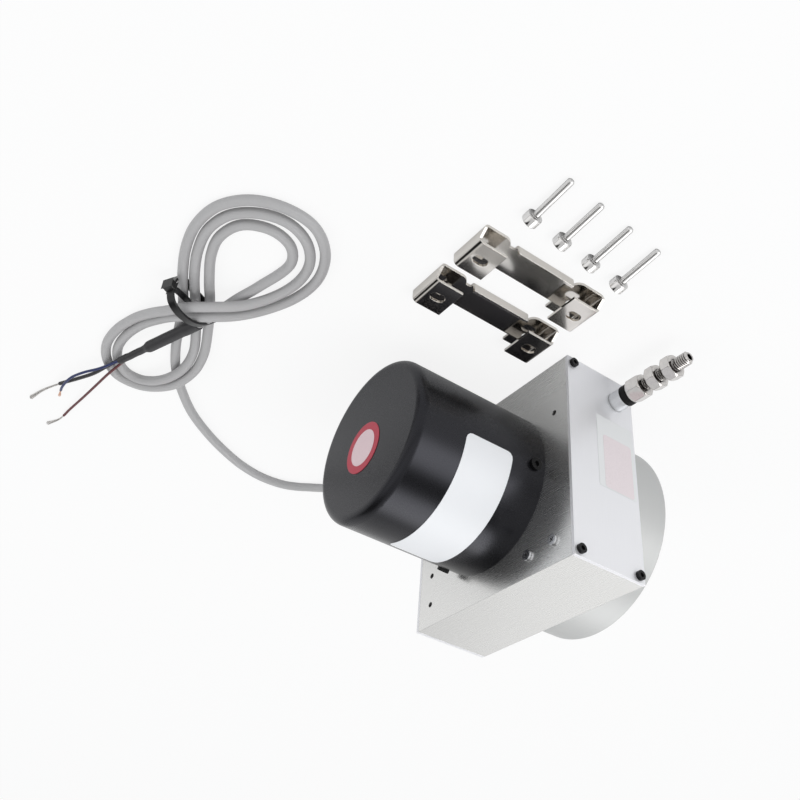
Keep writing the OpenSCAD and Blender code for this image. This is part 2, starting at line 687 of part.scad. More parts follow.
/* Cable gland on the far side of the cover */
gland_thread_d = 8;
gland_flange_l = 3;
gland_nut_l = 9;
gland_x = axis_x - cover_d / 2;
gland_bore_d = cable_d + 0.1;
module gland_axis(x) { translate([x, half_w + gland_y, axis_z]) rotate([0, -90, 0]) children(); }
gland_in = 6;
gland_seat = 0.6;
module cable_gland() {
    color("black") difference() {
        union() {
            gland_axis(gland_x + gland_in) cylinder(d = gland_thread_d, h = gland_in + gland_flange_l + gland_nut_l - 2);
            gland_axis(gland_x + gland_seat) cylinder(d = gland_d, h = gland_flange_l + gland_seat, $fn = 6);
        }
        gland_axis(gland_x + gland_in + cut)
            cylinder(d = gland_bore_d, h = gland_in + gland_flange_l + gland_nut_l + cut);
    }
}
module gland_nut() {
    dome = 3;
    color("black") gland_axis(gland_x - gland_flange_l) difference() {
        union() {
            cylinder(d = gland_d, h = gland_nut_l - dome);
            translate([0, 0, gland_nut_l - dome]) cylinder(d1 = gland_d, d2 = gland_bore_d + 2, h = dome);
        }
        translate([0, 0, -cut]) cylinder(d = gland_thread_d + shell_gap, h = gland_nut_l + cut - 1);
        cylinder(d = gland_bore_d, h = gland_nut_l + cut);
    }
}

/* Wire outlet */
bush_neck_d = 8;
bush_in = 5;
guide_d = 5;
wire_hole_d = 1.6;
bush_end = plate_x + bush_l;
bumper_end = bush_end + bumper_l;
module outlet_bush() {
    color("gainsboro") difference() {
        union() {
            along_x([plate_x, wire_y, wire_z]) cylinder(d = bush_d, h = bush_l);
            along_x([half_l - bush_in, wire_y, wire_z]) cylinder(d = bush_neck_d, h = bush_in + plate_t + cut / 2);
        }
        along_x([half_l - bush_in - cut, wire_y, wire_z])
            cylinder(d = guide_d + 0.1, h = bush_in + plate_t + bush_l + 2 * cut);
    }
}
module wire_guide() {
    color("ivory") along_x([half_l - bush_in, wire_y, wire_z])
        pipe(guide_d / 2, wire_hole_d / 2, bush_in + plate_t + bush_l);
}
module bumper_ring() {
    color("black") along_x([bush_end, wire_y, wire_z]) pipe(bumper_d / 2, wire_hole_d / 2 + 0.5, bumper_l);
}

/* End fitting: all that moves out with the wire */
hex_start = bumper_end + rest_gap;
hex_end = hex_start + hex_l;
stud_end = hex_end + stud_l;
stud_bore_d = 3;
// a shallow groove marks the free end of the stud, outside the second nut
nuts_end = hex_end + nut_gap + 2 * nut_t + nut_space;
groove_gap = 0.3;
groove_l = 0.6;
groove_d = stud_d - 1;
crimp_x = 3;
ferrule_l = 5;
winding_gap = 0.3;
module draw_wire() {
    color("gray") along_x([axis_x + winding_gap, wire_y, wire_z])
        cylinder(d = wire_d, h = hex_start + crimp_x + ferrule_l - axis_x - winding_gap);
}
module end_fitting() {
    chamfer = 0.8;
    color("lightgray") difference() {
        union() {
            along_x([hex_start, wire_y, wire_z]) hex_bar(hex_af, hex_l);
            along_x([hex_end - cut / 2, wire_y, wire_z])
                cylinder(d = stud_d, h = stud_l - chamfer + cut / 2);
            along_x([stud_end - chamfer, wire_y, wire_z])
                cylinder(d1 = stud_d, d2 = stud_d - 2 * chamfer, h = chamfer);
        }
        along_x([hex_start - cut, wire_y, wire_z]) cylinder(d = wire_hole_d, h = hex_l + stud_l + 2 * cut);
        along_x([hex_start + crimp_x, wire_y, wire_z]) cylinder(d = stud_bore_d, h = hex_l + stud_l);
        along_x([nuts_end + groove_gap, wire_y, wire_z]) pipe(stud_d, groove_d / 2, groove_l);
    }
}
// A hexagon bar with both ends chamfered, flats facing up and down
hex_cone = 1;
module hex_bar(af, l) {
    corner_d = af / cos(30);
    intersection() {
        cylinder(d = corner_d, h = l, $fn = 6);
        // a turned blank with a cone at each end
        rotate_extrude() polygon([[0, 0], [af / 2, 0], [corner_d / 2 + 0.2, hex_cone], [corner_d / 2 + 0.2, l - hex_cone],
            [af / 2, l], [0, l]]);
    }
}
module fitting_nuts() {
    color("lightgray") for (i = [0, 1])
        along_x([hex_end + nut_gap + i * (nut_t + nut_space), wire_y, wire_z]) difference() {
            hex_bar(hex_af, nut_t);
            translate([0, 0, -cut]) cylinder(d = stud_d + 0.05, h = nut_t + 2 * cut);
        }
}
module wire_ferrule() {
    color("darkgoldenrod") along_x([hex_start + crimp_x, wire_y, wire_z])
        pipe(stud_bore_d / 2 - 0.05, wire_d / 2 + 0.02, ferrule_l);
}

/* Mounting kit, lying beside the encoder */
bracket_x = 50;
bracket_y0 = 66.2;
bracket_dx = 27.6;
// the base plate runs past the folded ends on the side of the turned-up edge
base_side = 3.4;
base_lap = 1;
base_corner = 4;
base_x = bracket_w / 2 + base_side;
bar_side = 4.1;
bar_relief = 3;
flange_l = 29;
flange_h = 5.5;
bend = 2.2;
web_lap = 5;
// A flat slot along the bracket's length
module slot(h) {
    linear_extrude(h) {
        for (s = [-1, 1]) translate([0, s * (slot_l - slot_w) / 2]) circle(d = slot_w);
        square([slot_w, slot_l - slot_w], center = true);
    }
}
// A rectangle with one far corner rounded
module corner_rounded(l, h, r) {
    square([l - r, h]);
    translate([0, r]) square([l, h - r]);
    translate([l - r, r]) circle(r = r, $fn = 32);
}
// A rectangle with both near corners rounded
module near_rounded(l, h, r) {
    translate([r, 0]) square([l - r, h]);
    translate([0, r]) square([l, h - 2 * r]);
    for (z = [r, h - r]) translate([r, z]) circle(r = r, $fn = 32);
}
// A folded end: base plate, web and top plate, drawn in Y and Z
module fold_section() {
    difference() {
        near_rounded(bracket_fold_l, bracket_h, bend);
        translate([bracket_t, bracket_t])
            near_rounded(bracket_fold_l, bracket_h - 2 * bracket_t, bend - bracket_t);
    }
}
// The bar with its turned-up edge, drawn in X and Z
module bar_section() {
    difference() {
        corner_rounded(bar_side + base_x, flange_h, bend);
        translate([-cut, bracket_t])
            corner_rounded(bar_side + base_x - bracket_t + cut, flange_h, bend - bracket_t);
    }
}
// The web carries on past the top plate and slants down to the base plate
module slanted_web() {
    difference() {
        translate([-bracket_w / 2, -bracket_l / 2, 0]) rotate([90, 0, 90])
            linear_extrude(bracket_w / 2 + base_x) intersection() {
                fold_section();
                square([web_lap, bracket_h]);
            }
        translate([0, cut - bracket_l / 2 + web_lap, 0]) rotate([90, 0, 0]) linear_extrude(web_lap + 2 * cut)
            polygon([[bracket_w / 2, bracket_h + cut], [bracket_w / 2, bracket_h - bend],
                [base_x, bend], [base_x + cut, bend], [base_x + cut, bracket_h + cut]]);
    }
}
// The line between the two slots runs along Y at x = 0
module bracket() {
    bar_y = bracket_l / 2 - bracket_fold_l;
    difference() {
        union() {
            for (m = [0, 1]) mirror([0, m, 0]) {
                translate([-bracket_w / 2, -bracket_l / 2, 0]) rotate([90, 0, 90])
                    linear_extrude(bracket_w) fold_section();
                slanted_web();
                translate([-bracket_w / 2, base_lap - bar_y, 0]) mirror([0, 1, 0]) linear_extrude(bracket_t)
                    corner_rounded(bracket_w / 2 + base_x, bracket_fold_l + base_lap - bend, base_corner);
            }
            translate([-bar_side, -bar_y, 0]) cube([bar_side + base_x - bar_relief, 2 * bar_y, bracket_t]);
            translate([-bar_side, flange_l / 2, 0]) rotate([90, 0, 0]) linear_extrude(flange_l) bar_section();
        }
        for (s = [-1, 1]) translate([0, s * bracket_slot_dy / 2, -cut]) slot(bracket_h + 2 * cut);
    }
}
module bracket_inner() { color("silver") translate([bracket_x, bracket_y0, 0]) bracket(); }
module bracket_outer() { color("silver") translate([bracket_x + bracket_dx, bracket_y0, 0]) bracket(); }

kit_head_h = 4;
kit_tilt = atan((kit_head_d - kit_screw_d) / 2 / kit_screw_l);
kit_screw_at = [102.5, 88];
kit_screw_step = [-1.5, -16.8];
module bracket_screws() {
    color("silver") for (i = [0:3])
        translate([kit_screw_at[0] + i * kit_screw_step[0], kit_screw_at[1] + i * kit_screw_step[1],
            kit_head_d / 2 * cos(kit_tilt) + kit_head_h * sin(kit_tilt)])
            rotate([0, 90 + kit_tilt, 0]) mirror([0, 0, 1]) translate([0, 0, -kit_head_h])
                cap_screw(kit_screw_d, kit_screw_l, kit_head_d, kit_head_h);
}

/* Cable, laid on the floor in a figure of eight and held by a tie */
core_sides = 8;
cable_route = [
    // out of the gland and down to the floor
    [-48, 36, 49], [-54, 36, 49], [-65, 36, 46.5], [-77, 36, 39.5], [-88, 36.5, 28], [-98, 37.5, 16],
    [-108.5, 41.5, 6], [-120, 49, 2.4], [-127, 60, 2.4], [-129, 73, 2.4], [-126.5, 87, 2.4],
    [-120, 102, 2.4], [-111, 117, 2.4], [-100.5, 130.5, 2.4], [-88.5, 141.5, 2.4], [-75, 151.5, 2.4],
    [-60, 159, 2.4], [-27, 171, 3.5],
    // first turn of the large loop
    [-12, 178.5, 3.5], [3, 184.5, 2.4], [18, 187, 2.4], [32, 184.5, 2.4], [42.5, 176, 2.4],
    [47.5, 163.5, 2.4], [46.5, 150, 2.4], [37.5, 139, 2.4], [23, 133, 2.4], [7, 134, 2.4],
    [-5, 140.5, 4.5], [-12, 150.5, 9.5], [-17, 161, 13],
    // first turn of the small loop
    [-31, 171, 9], [-43.5, 174.5, 4], [-54, 178.5, 2.4], [-65.5, 181, 2.4], [-76.5, 180.5, 2.4],
    [-85.5, 176.5, 2.4], [-91.5, 170, 2.4], [-91, 164, 3.5], [-84.5, 158.5, 6], [-74.5, 154, 7.5],
    [-64, 151.5, 6.5], [-55.5, 152, 3.5], [-40, 158.5, 2.6],
    // second turn of the large loop
    [-24, 166.5, 3.5], [-9, 174.5, 3.5], [5, 180, 2.4], [19, 182, 2.4], [31, 178.5, 2.4],
    [39, 169.5, 2.4], [41.5, 158.5, 2.4], [37.5, 148, 2.4], [28, 140.5, 2.4], [15, 138.5, 2.4],
    [3.5, 142.5, 4.5], [-5, 152, 9.5], [-11, 164, 13.3],
    // second turn of the small loop
    [-18, 171.5, 13], [-29.5, 176, 9.5], [-42, 179.5, 4.5], [-52.5, 183, 2.4], [-65, 186, 2.4],
    [-78, 185.5, 2.4], [-89, 180.5, 2.4], [-96.5, 172, 2.4], [-95.5, 161.5, 3.5], [-87, 154, 6],
    [-76, 149, 7.5], [-64, 146.5, 6], [-54, 147.5, 3.5], [-38, 153.5, 2.8],
    // half a turn of the large loop, back through the tie and into the sleeve
    [-20, 161.5, 3.6], [-7, 168.5, 3.5], [6, 174.5, 2.4], [18, 176.5, 2.4], [29, 172.5, 2.4],
    [34, 162, 2.4], [31.5, 152, 2.4], [23, 146.5, 2.4], [2, 150, 2.6], [-9, 154.5, 5],
    [-20, 158.7, 8.6], [-29, 161.5, 8.8], [-36.6, 163.9, 8.6]];
blue_route = [[-77, 177.3, 7.9], [-91, 182.5, 7.2], [-100, 187, 6.5], [-109, 190, 5.8], [-119, 190.5, 5],
    [-127, 189.3, 3.2], [-133, 188, 1.6]];
red_route = [[-77, 175.9, 7.9], [-92, 177.5, 7], [-108, 178, 5], [-124, 178.5, 3], [-141, 179.5, 1.5],
    [-154, 180.5, 1], [-162, 184, 1]];
shield_route = [[-77, 176.6, 6.3], [-88, 180, 6.2], [-98, 182.8, 6], [-110, 187.2, 4.5], [-123, 192, 2.4],
    [-134, 196, 1.6], [-145, 198.5, 1.2]];
module cable() { color("darkgray") tube_along(cable_route, cable_d / 2, core_sides); }
module core_blue() { color("midnightblue") tube_along(blue_route, core_d / 2, core_sides); }
module core_red() { color("maroon") tube_along(red_route, core_d / 2, core_sides); }
module core_shield() { color("black") tube_along(shield_route, shield_d / 2, core_sides); }

// The sleeve lies in line with the cable's last stretch
sleeve_from = [-29, 161.5, 8.8];
sleeve_to = [-79, 177.3, 7.2];
sleeve_grip = 9;
sleeve_neck_l = 17;
module heat_shrink() {
    l = norm(sleeve_to - sleeve_from);
    d = (sleeve_to - sleeve_from) / l;
    color("dimgray") translate(sleeve_from) rotate([0, acos(d[2]), atan2(d[1], d[0])]) difference() {
        rotate_extrude() polygon([[0, 0], [sleeve_d / 2, 0], [sleeve_d / 2, l - sleeve_neck_l - 4],
            [sleeve_neck_d / 2, l - sleeve_neck_l], [sleeve_neck_d / 2, l], [0, l]]);
        translate([0, 0, -cut]) cylinder(d = cable_d + 0.3, h = sleeve_grip + cut);
    }
}

// The tie's strap loops round the crossing strands, in the upright plane through tie_at;
// tie_strands are the strands' places in that plane
tie_at = [-13.7, 182.4, 0];
tie_turn = -118;
tie_strands = [[3.2, 3.5], [31, 3.5], [26.3, 9.2], [20.8, 12.6], [12, 14], [10, 14]];
module tie_outline(r) {
    hull() for (p = tie_strands) translate(p) circle(r = r, $fn = 24);
}
tie_head = [4, 5.5, 5];
module cable_tie() {
    inner = cable_d / 2 + 0.2;
    color("black") translate(tie_at) rotate([90, 0, tie_turn]) {
        translate([0, 0, -tie_w / 2]) linear_extrude(tie_w) difference() {
            tie_outline(inner + tie_t);
            tie_outline(inner);
        }
        translate([tie_strands[0][0] - inner - tie_head[0], 6, -tie_head[2] / 2]) cube(tie_head);
    }
}

housing();
outlet_plate();
rear_plate();
end_plate_screws();
face_screws();
cover_flange();
spring_flange();
flange_screws();
front_bearing();
rear_bearing();
drum();
drum_shaft();
retaining_rings();
spring_arbor();
grub_screws();
wire_winding();
main_spring();
spring_housing();
spring_housing_screws();
shaft_coupling();
sensor_shaft();
multiturn_sensor();
sensor_bracket();
sensor_standoffs();
board_standoffs();
circuit_board();
terminal_block();
sensor_cover();
cover_screws();
cover_label();
cover_disc();
cable_gland();
gland_nut();
outlet_bush();
wire_guide();
bumper_ring();
draw_wire();
end_fitting();
fitting_nuts();
wire_ferrule();
bracket_inner();
bracket_outer();
bracket_screws();
cable();
heat_shrink();
core_blue();
core_red();
core_shield();
cable_tie();
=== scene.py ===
"""Looks of the draw wire encoder and its mounting kit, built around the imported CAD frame.

Lengths are in metres unless a name ends in _MM or _mm. Places come from the CAD nodes, apart from
those of the cable with its cores, sleeve and tie, and of the film on the outlet plate.
"""

import math
import random

import bmesh
import bpy
import numpy as np
from mathutils import Matrix, Vector


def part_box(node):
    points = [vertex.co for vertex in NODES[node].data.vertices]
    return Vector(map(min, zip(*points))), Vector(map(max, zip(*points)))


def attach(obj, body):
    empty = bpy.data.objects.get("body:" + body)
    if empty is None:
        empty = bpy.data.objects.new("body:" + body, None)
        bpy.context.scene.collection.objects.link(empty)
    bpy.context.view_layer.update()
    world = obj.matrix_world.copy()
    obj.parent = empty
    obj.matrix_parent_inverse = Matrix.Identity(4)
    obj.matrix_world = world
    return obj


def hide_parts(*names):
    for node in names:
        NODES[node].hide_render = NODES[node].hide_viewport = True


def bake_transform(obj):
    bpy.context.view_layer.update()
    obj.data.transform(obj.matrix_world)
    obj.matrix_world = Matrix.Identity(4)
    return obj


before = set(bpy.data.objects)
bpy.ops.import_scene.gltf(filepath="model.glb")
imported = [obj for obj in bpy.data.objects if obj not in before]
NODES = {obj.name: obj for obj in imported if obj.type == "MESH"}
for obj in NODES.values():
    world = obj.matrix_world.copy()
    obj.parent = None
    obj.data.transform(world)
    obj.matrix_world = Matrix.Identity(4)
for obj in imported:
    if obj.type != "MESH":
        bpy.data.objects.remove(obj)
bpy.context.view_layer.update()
TAU = 2 * math.pi
SPAN_STEPS = 24  # points that a smooth curve is worked out at between two given points
MERGE, SAME_END = 1e-7, 1e-5  # how close corners are the same, and how close to a screw's end


# ---------------------------------------------------------------- mesh helpers

def link(name, mesh, body, smooth):
    """Makes an object of a mesh that rides on a body. Edges sharper than smooth stay sharp."""
    for p in mesh.polygons:
        p.use_smooth = True
    mesh.set_sharp_from_angle(angle=math.radians(smooth))
    o = bpy.data.objects.new(name, mesh)
    bpy.context.scene.collection.objects.link(o)
    if body:
        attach(o, body)
    return o


def from_lists(name, verts, faces):
    mesh = bpy.data.meshes.new(name)
    mesh.from_pydata([tuple(v) for v in verts], [], faces)
    mesh.validate()
    return mesh


def grid_faces(rings, sides, first=0, cap_ends=True):
    """Faces of a skin over rings of corners, whose corners are numbered from first on."""
    faces = []
    for i in range(rings - 1):
        a, b = first + i * sides, first + (i + 1) * sides
        faces += [(a + k, a + (k + 1) % sides, b + (k + 1) % sides, b + k) for k in range(sides)]
    if cap_ends:
        faces.append(tuple(first + k for k in reversed(range(sides))))
        faces.append(tuple(first + (rings - 1) * sides + k for k in range(sides)))
    return faces


def smooth_path(points_mm, step, floor=None):
    """A centripetal Catmull-Rom curve through the points, in metres, with even steps."""
    p = [np.array(q, float) / 1000 for q in points_mm]
    p = [2 * p[0] - p[1]] + p + [2 * p[-1] - p[-2]]
    dense = []
    for a, b, c, d in zip(p, p[1:], p[2:], p[3:]):
        t = [0.0]
        for u, v in ((a, b), (b, c), (c, d)):
            t.append(t[-1] + np.linalg.norm(v - u) ** 0.5)
        for s in np.linspace(t[1], t[2], SPAN_STEPS, endpoint=False):
            ab = ((t[1] - s) * a + (s - t[0]) * b) / (t[1] - t[0])
            bc = ((t[2] - s) * b + (s - t[1]) * c) / (t[2] - t[1])
            cd = ((t[3] - s) * c + (s - t[2]) * d) / (t[3] - t[2])
            abc = ((t[2] - s) * ab + (s - t[0]) * bc) / (t[2] - t[0])
            bcd = ((t[3] - s) * bc + (s - t[1]) * cd) / (t[3] - t[1])
            dense.append(((t[2] - s) * abc + (s - t[1]) * bcd) / (t[2] - t[1]))
    dense = np.array(dense + [p[-2]])
    if floor is not None:
        dense[:, 2] = np.maximum(dense[:, 2], floor)
    run = np.concatenate([[0], np.cumsum(np.linalg.norm(np.diff(dense, axis=0), axis=1))])
    count = max(2, int(round(run[-1] / step)) + 1)
    at = np.linspace(0, run[-1], count)
    return [Vector(q) for q in np.stack([np.interp(at, run, dense[:, k]) for k in range(3)], 1)]


def frames_along(path):
    """A tangent and two cross directions at each point, turned as little as possible."""
    out, side = [], Vector((0, 0, 1))
    for i, p in enumerate(path):
        t = (path[min(i + 1, len(path) - 1)] - path[max(i - 1, 0)]).normalized()
        side = side - t * side.dot(t)
        if side.length < 1e-6:
            side = t.orthogonal()
        side.normalize()
        out.append((t, side.copy(), t.cross(side)))
    return out


def tube(name, path, radius, sides, body="root"):
    """A tube along a path.

    radius is a number, or a function of the share of the length and the angle.
    """
    verts = []
    for i, (p, (t, a, b)) in enumerate(zip(path, frames_along(path))):
        for k in range(sides):
            w = TAU * k / sides
            r = radius(i / (len(path) - 1), w) if callable(radius) else radius
            verts.append(p + (a * math.cos(w) + b * math.sin(w)) * r)
    return link(name, from_lists(name, verts, grid_faces(len(path), sides)), body, 50)


def lathe(name, start, axis, profile, sides, body="root", smooth=35.0):
    """A closed form around an axis.

    The profile's rows are (distance along the axis, radius or function of the angle).
    """
    axis = Vector(axis).normalized()
    a = axis.orthogonal().normalized()
    if abs(axis.z) < 0.9:
        a = (Vector((0, 0, 1)) - axis * axis.z).normalized()
    b = axis.cross(a)
    verts = []
    for s, r in profile:
        for k in range(sides):
            w = TAU * k / sides
            q = r(w) if callable(r) else r
            verts.append(Vector(start) + axis * s + (a * math.cos(w) + b * math.sin(w)) * q)
    return link(name, from_lists(name, verts, grid_faces(len(profile), sides)), body, smooth)


def hexagon(across_flats, turn=0.0):
    """Radius of a hexagon at an angle, flats square to angle 0."""
    def r(w):
        m = (w + turn + math.pi / 6) % (math.pi / 3) - math.pi / 6
        return across_flats / 2 / math.cos(m)
    return r


def lesser(r, limit):
    return lambda w: min(r(w), limit)


THREAD_STEPS = 8  # rows for each turn of a thread
THREAD_ROOT = 0.12  # how far the ridge's slopes start below the root, as a share of its height


def thread_rows(start, end, major, pitch, depth, taper=0.0, steep=2.6):
    """Rows of a screw thread for lathe(): a ridge that climbs one pitch for each turn."""
    rows = []
    count = max(2, int(round((end - start) / pitch * THREAD_STEPS)))
    for i in range(count + 1):
        s = start + (end - start) * i / count
        left = min(1.0, (end - s) / taper) if taper else 1.0

        def r(w, s=s, left=left):
            ph = (s / pitch - w / TAU) % 1.0
            ridge = min(1.0, max(0.0, steep * (0.5 - abs(ph - 0.5)) - THREAD_ROOT))
            return major / 2 - depth * (1 - ridge) - (1 - left) * 0.5 * depth
        rows.append((s, r))
    return rows


def islands(node):
    """The separate solids of a CAD node, as arrays of corners.

    A set has no fixed order, so corners and solids are sorted by place: each run names the same
    solid the same way.
    """
    bm = bmesh.new()
    bm.from_mesh(NODES[node].data)
    bmesh.ops.remove_doubles(bm, verts=bm.verts, dist=MERGE)
    left, found = set(bm.verts), []
    while left:
        seed = [left.pop()]
        group = list(seed)
        while seed:
            for e in seed.pop().link_edges:
                for v in e.verts:
                    if v in left:
                        left.remove(v)
                        seed.append(v)
                        group.append(v)
        found.append(sorted(tuple(v.co) for v in group))
    bm.free()
    return [np.array(corners) for corners in sorted(found)]


def long_axis(points):
    """(head end, direction from head to tip, length) of a screw given by its corners."""
    centre = points.mean(0)
    direction = np.linalg.svd(points - centre)[2][0]
    along = (points - centre) @ direction
    across = np.linalg.norm(points - centre - np.outer(along, direction), axis=1)
    if across[along > along.mean()].max() > across[along <= along.mean()].max() + SAME_END:
        direction, along = -direction, -along
    # the head's ring of corners gives the true centre line
    head = points[along < along.min() + SAME_END]
    mid = (head.min(0) + head.max(0)) / 2 if len(head) > 3 else centre
    return Vector(mid), Vector(direction), along.max() - along.min()


# ---------------------------------------------------------------- camera

CAMERA_AT = Vector((0.29966, 0.26532, 0.29036))
CAMERA_FORWARD = Vector((-0.67264, -0.43203, -0.60075))
CAMERA_UP = Vector((0.45466, 0.39924, -0.79617))  # the object stands on its head in the picture
LENS_MM, SENSOR_MM = 45.07, 36.0


def make_camera():
    data = bpy.data.cameras.new("camera")
    data.lens, data.sensor_width = LENS_MM, SENSOR_MM
    data.clip_start, data.clip_end = 0.01, 20
    cam = bpy.data.objects.new("camera", data)
    bpy.context.scene.collection.objects.link(cam)
    forward = CAMERA_FORWARD.normalized()
    right = forward.cross(CAMERA_UP).normalized()
    up = right.cross(forward)
    m = Matrix((right, up, -forward)).transposed().to_4x4()
    m.translation = CAMERA_AT
    cam.matrix_world = m
    bpy.context.scene.camera = cam


make_camera()

# ---------------------------------------------------------------- cable, cores and tie

CABLE_D, CORE_D, SHIELD_D = 0.0045, 0.0013, 0.0018
CABLE_STEP, CORE_STEP = 0.002, 0.0008
CABLE_ROUTE_MM = [
    # out of the gland and down to the floor
    (-48, 36, 49), (-54, 36, 49), (-65, 36, 46.5), (-77, 36, 39.5), (-88, 36.5, 28),
    (-98, 37.5, 16), (-108.5, 41.5, 6), (-120, 49, 2.4), (-127, 60, 2.4), (-129, 73, 2.4),
    (-126.5, 87, 2.4), (-120, 102, 2.4), (-111, 117, 2.4), (-100.5, 130.5, 2.4),
    (-88.5, 141.5, 2.4), (-75, 151.5, 2.4), (-60, 159, 2.4), (-27, 171, 3.5),
    # first turn of the large loop
    (-12, 178.5, 3.5), (3, 184.5, 2.4), (18, 187, 2.4), (32, 184.5, 2.4), (42.5, 176, 2.4),
    (47.5, 163.5, 2.4), (46.5, 150, 2.4), (37.5, 139, 2.4), (23, 133, 2.4), (7, 134, 2.4),
    (-5, 140.5, 4.5), (-12, 150.5, 9.5), (-17, 161, 13),
    # first turn of the small loop
    (-31, 171, 9), (-43.5, 174.5, 4), (-54, 178.5, 2.4), (-65.5, 181, 2.4), (-76.5, 180.5, 2.4),
    (-85.5, 176.5, 2.4), (-91.5, 170, 2.4), (-91, 164, 3.5), (-84.5, 158.5, 6), (-74.5, 154, 7.5),
    (-64, 151.5, 6.5), (-55.5, 152, 3.5), (-40, 158.5, 2.6),
    # second turn of the large loop
    (-24, 166.5, 3.5), (-9, 174.5, 3.5), (5, 180, 2.4), (19, 182, 2.4), (31, 178.5, 2.4),
    (39, 169.5, 2.4), (41.5, 158.5, 2.4), (37.5, 148, 2.4), (28, 140.5, 2.4), (15, 138.5, 2.4),
    (3.5, 142.5, 4.5), (-5, 152, 9.5), (-11, 164, 13.3),
    # second turn of the small loop
    (-18, 171.5, 13), (-29.5, 176, 9.5), (-42, 179.5, 4.5), (-52.5, 183, 2.4), (-65, 186, 2.4),
    (-78, 185.5, 2.4), (-89, 180.5, 2.4), (-96.5, 172, 2.4), (-95.5, 161.5, 3.5), (-87, 154, 6),
    (-76, 149, 7.5), (-64, 146.5, 6), (-54, 147.5, 3.5), (-38, 153.5, 2.8),
    # half a turn of the large loop, back through the tie and into the sleeve
    (-20, 161.5, 3.6), (-7, 168.5, 3.5), (6, 174.5, 2.4), (18, 176.5, 2.4), (29, 172.5, 2.4),
    (34, 162, 2.4), (31.5, 152, 2.4), (23, 146.5, 2.4), (2, 150, 2.6), (-9, 154.5, 5),
    (-20, 158.7, 8.6), (-29, 161.5, 8.8), (-36.6, 163.9, 8.6)]
BLUE_ROUTE_MM = [
    (-77, 177.3, 7.9), (-91, 182.5, 7.2), (-100, 187, 6.5), (-109, 190, 5.8), (-119, 190.5, 5),
    (-127, 189.3, 3.2), (-133, 188, 1.6)]
RED_ROUTE_MM = [
    (-77, 175.9, 7.9), (-92, 177.5, 7), (-108, 178, 5), (-124, 178.5, 3), (-141, 179.5, 1.5),
    (-154, 180.5, 1), (-162, 184, 1)]
SHIELD_ROUTE_MM = [
    (-77, 176.6, 6.3), (-88, 180, 6.2), (-98, 182.8, 6), (-110, 187.2, 4.5), (-123, 192, 2.4),
    (-134, 196, 1.6), (-145, 198.5, 1.2)]
SLEEVE_FROM = Vector((-0.029, 0.1615, 0.0088))
SLEEVE_TO = Vector((-0.079, 0.1773, 0.0072))
SLEEVE_R, NECK_R, NECK_L = 0.0029, 0.0017, 0.017
NECK_SLOPE = 0.004  # length over which the sleeve narrows
JACKET_END, JACKET_SOFT = 0.009, 0.0006  # where the jacket ends under the sleeve, and how softly
JACKET_STEP = 0.00022
WRINKLES, WRINKLE, NECK_WRINKLE, WRINKLE_SEED = 7, 0.00004, 0.0001, 4
# a strand's radius as a share of its core's diameter, how far the ends open, and how many of the
# path's points the strands reach back into the insulation
STRAND_R, STRAND_SPREAD, STRAND_OVERLAP = 0.13, 0.0006, 8


def strands(name, path, radius, count, spread):
    """Bare copper strands, twisted together and opening towards their ends."""
    rnd = random.Random(name)
    verts, faces = [], []
    sides, twist, slack = 6, 9, 0.6
    fr = frames_along(path)
    for c in range(count):
        phase, open_by = TAU * c / count, spread * rnd.uniform(0.5, 1.2)
        line = []
        for i, (p, (t, a, b)) in enumerate(zip(path, fr)):
            s = i / (len(path) - 1)
            w = phase + s * twist * (1 - slack * s)
            away = radius * 1.1 + open_by * s ** 3
            q = p + (a * math.cos(w) + b * math.sin(w)) * away
            q.z = max(q.z, radius * 1.2)
            line.append(q)
        first = len(verts)
        for p, (t, a, b) in zip(line, frames_along(line)):
            turns = [TAU * k / sides for k in range(sides)]
            verts += [p + (a * math.cos(w) + b * math.sin(w)) * radius for w in turns]
        faces += grid_faces(len(line), sides, first)
    return link(name, from_lists(name, verts, faces), "root", 60)


def split_path(path, share):
    cut = max(2, int(len(path) * share))
    return path[:cut + 1], path[cut:]


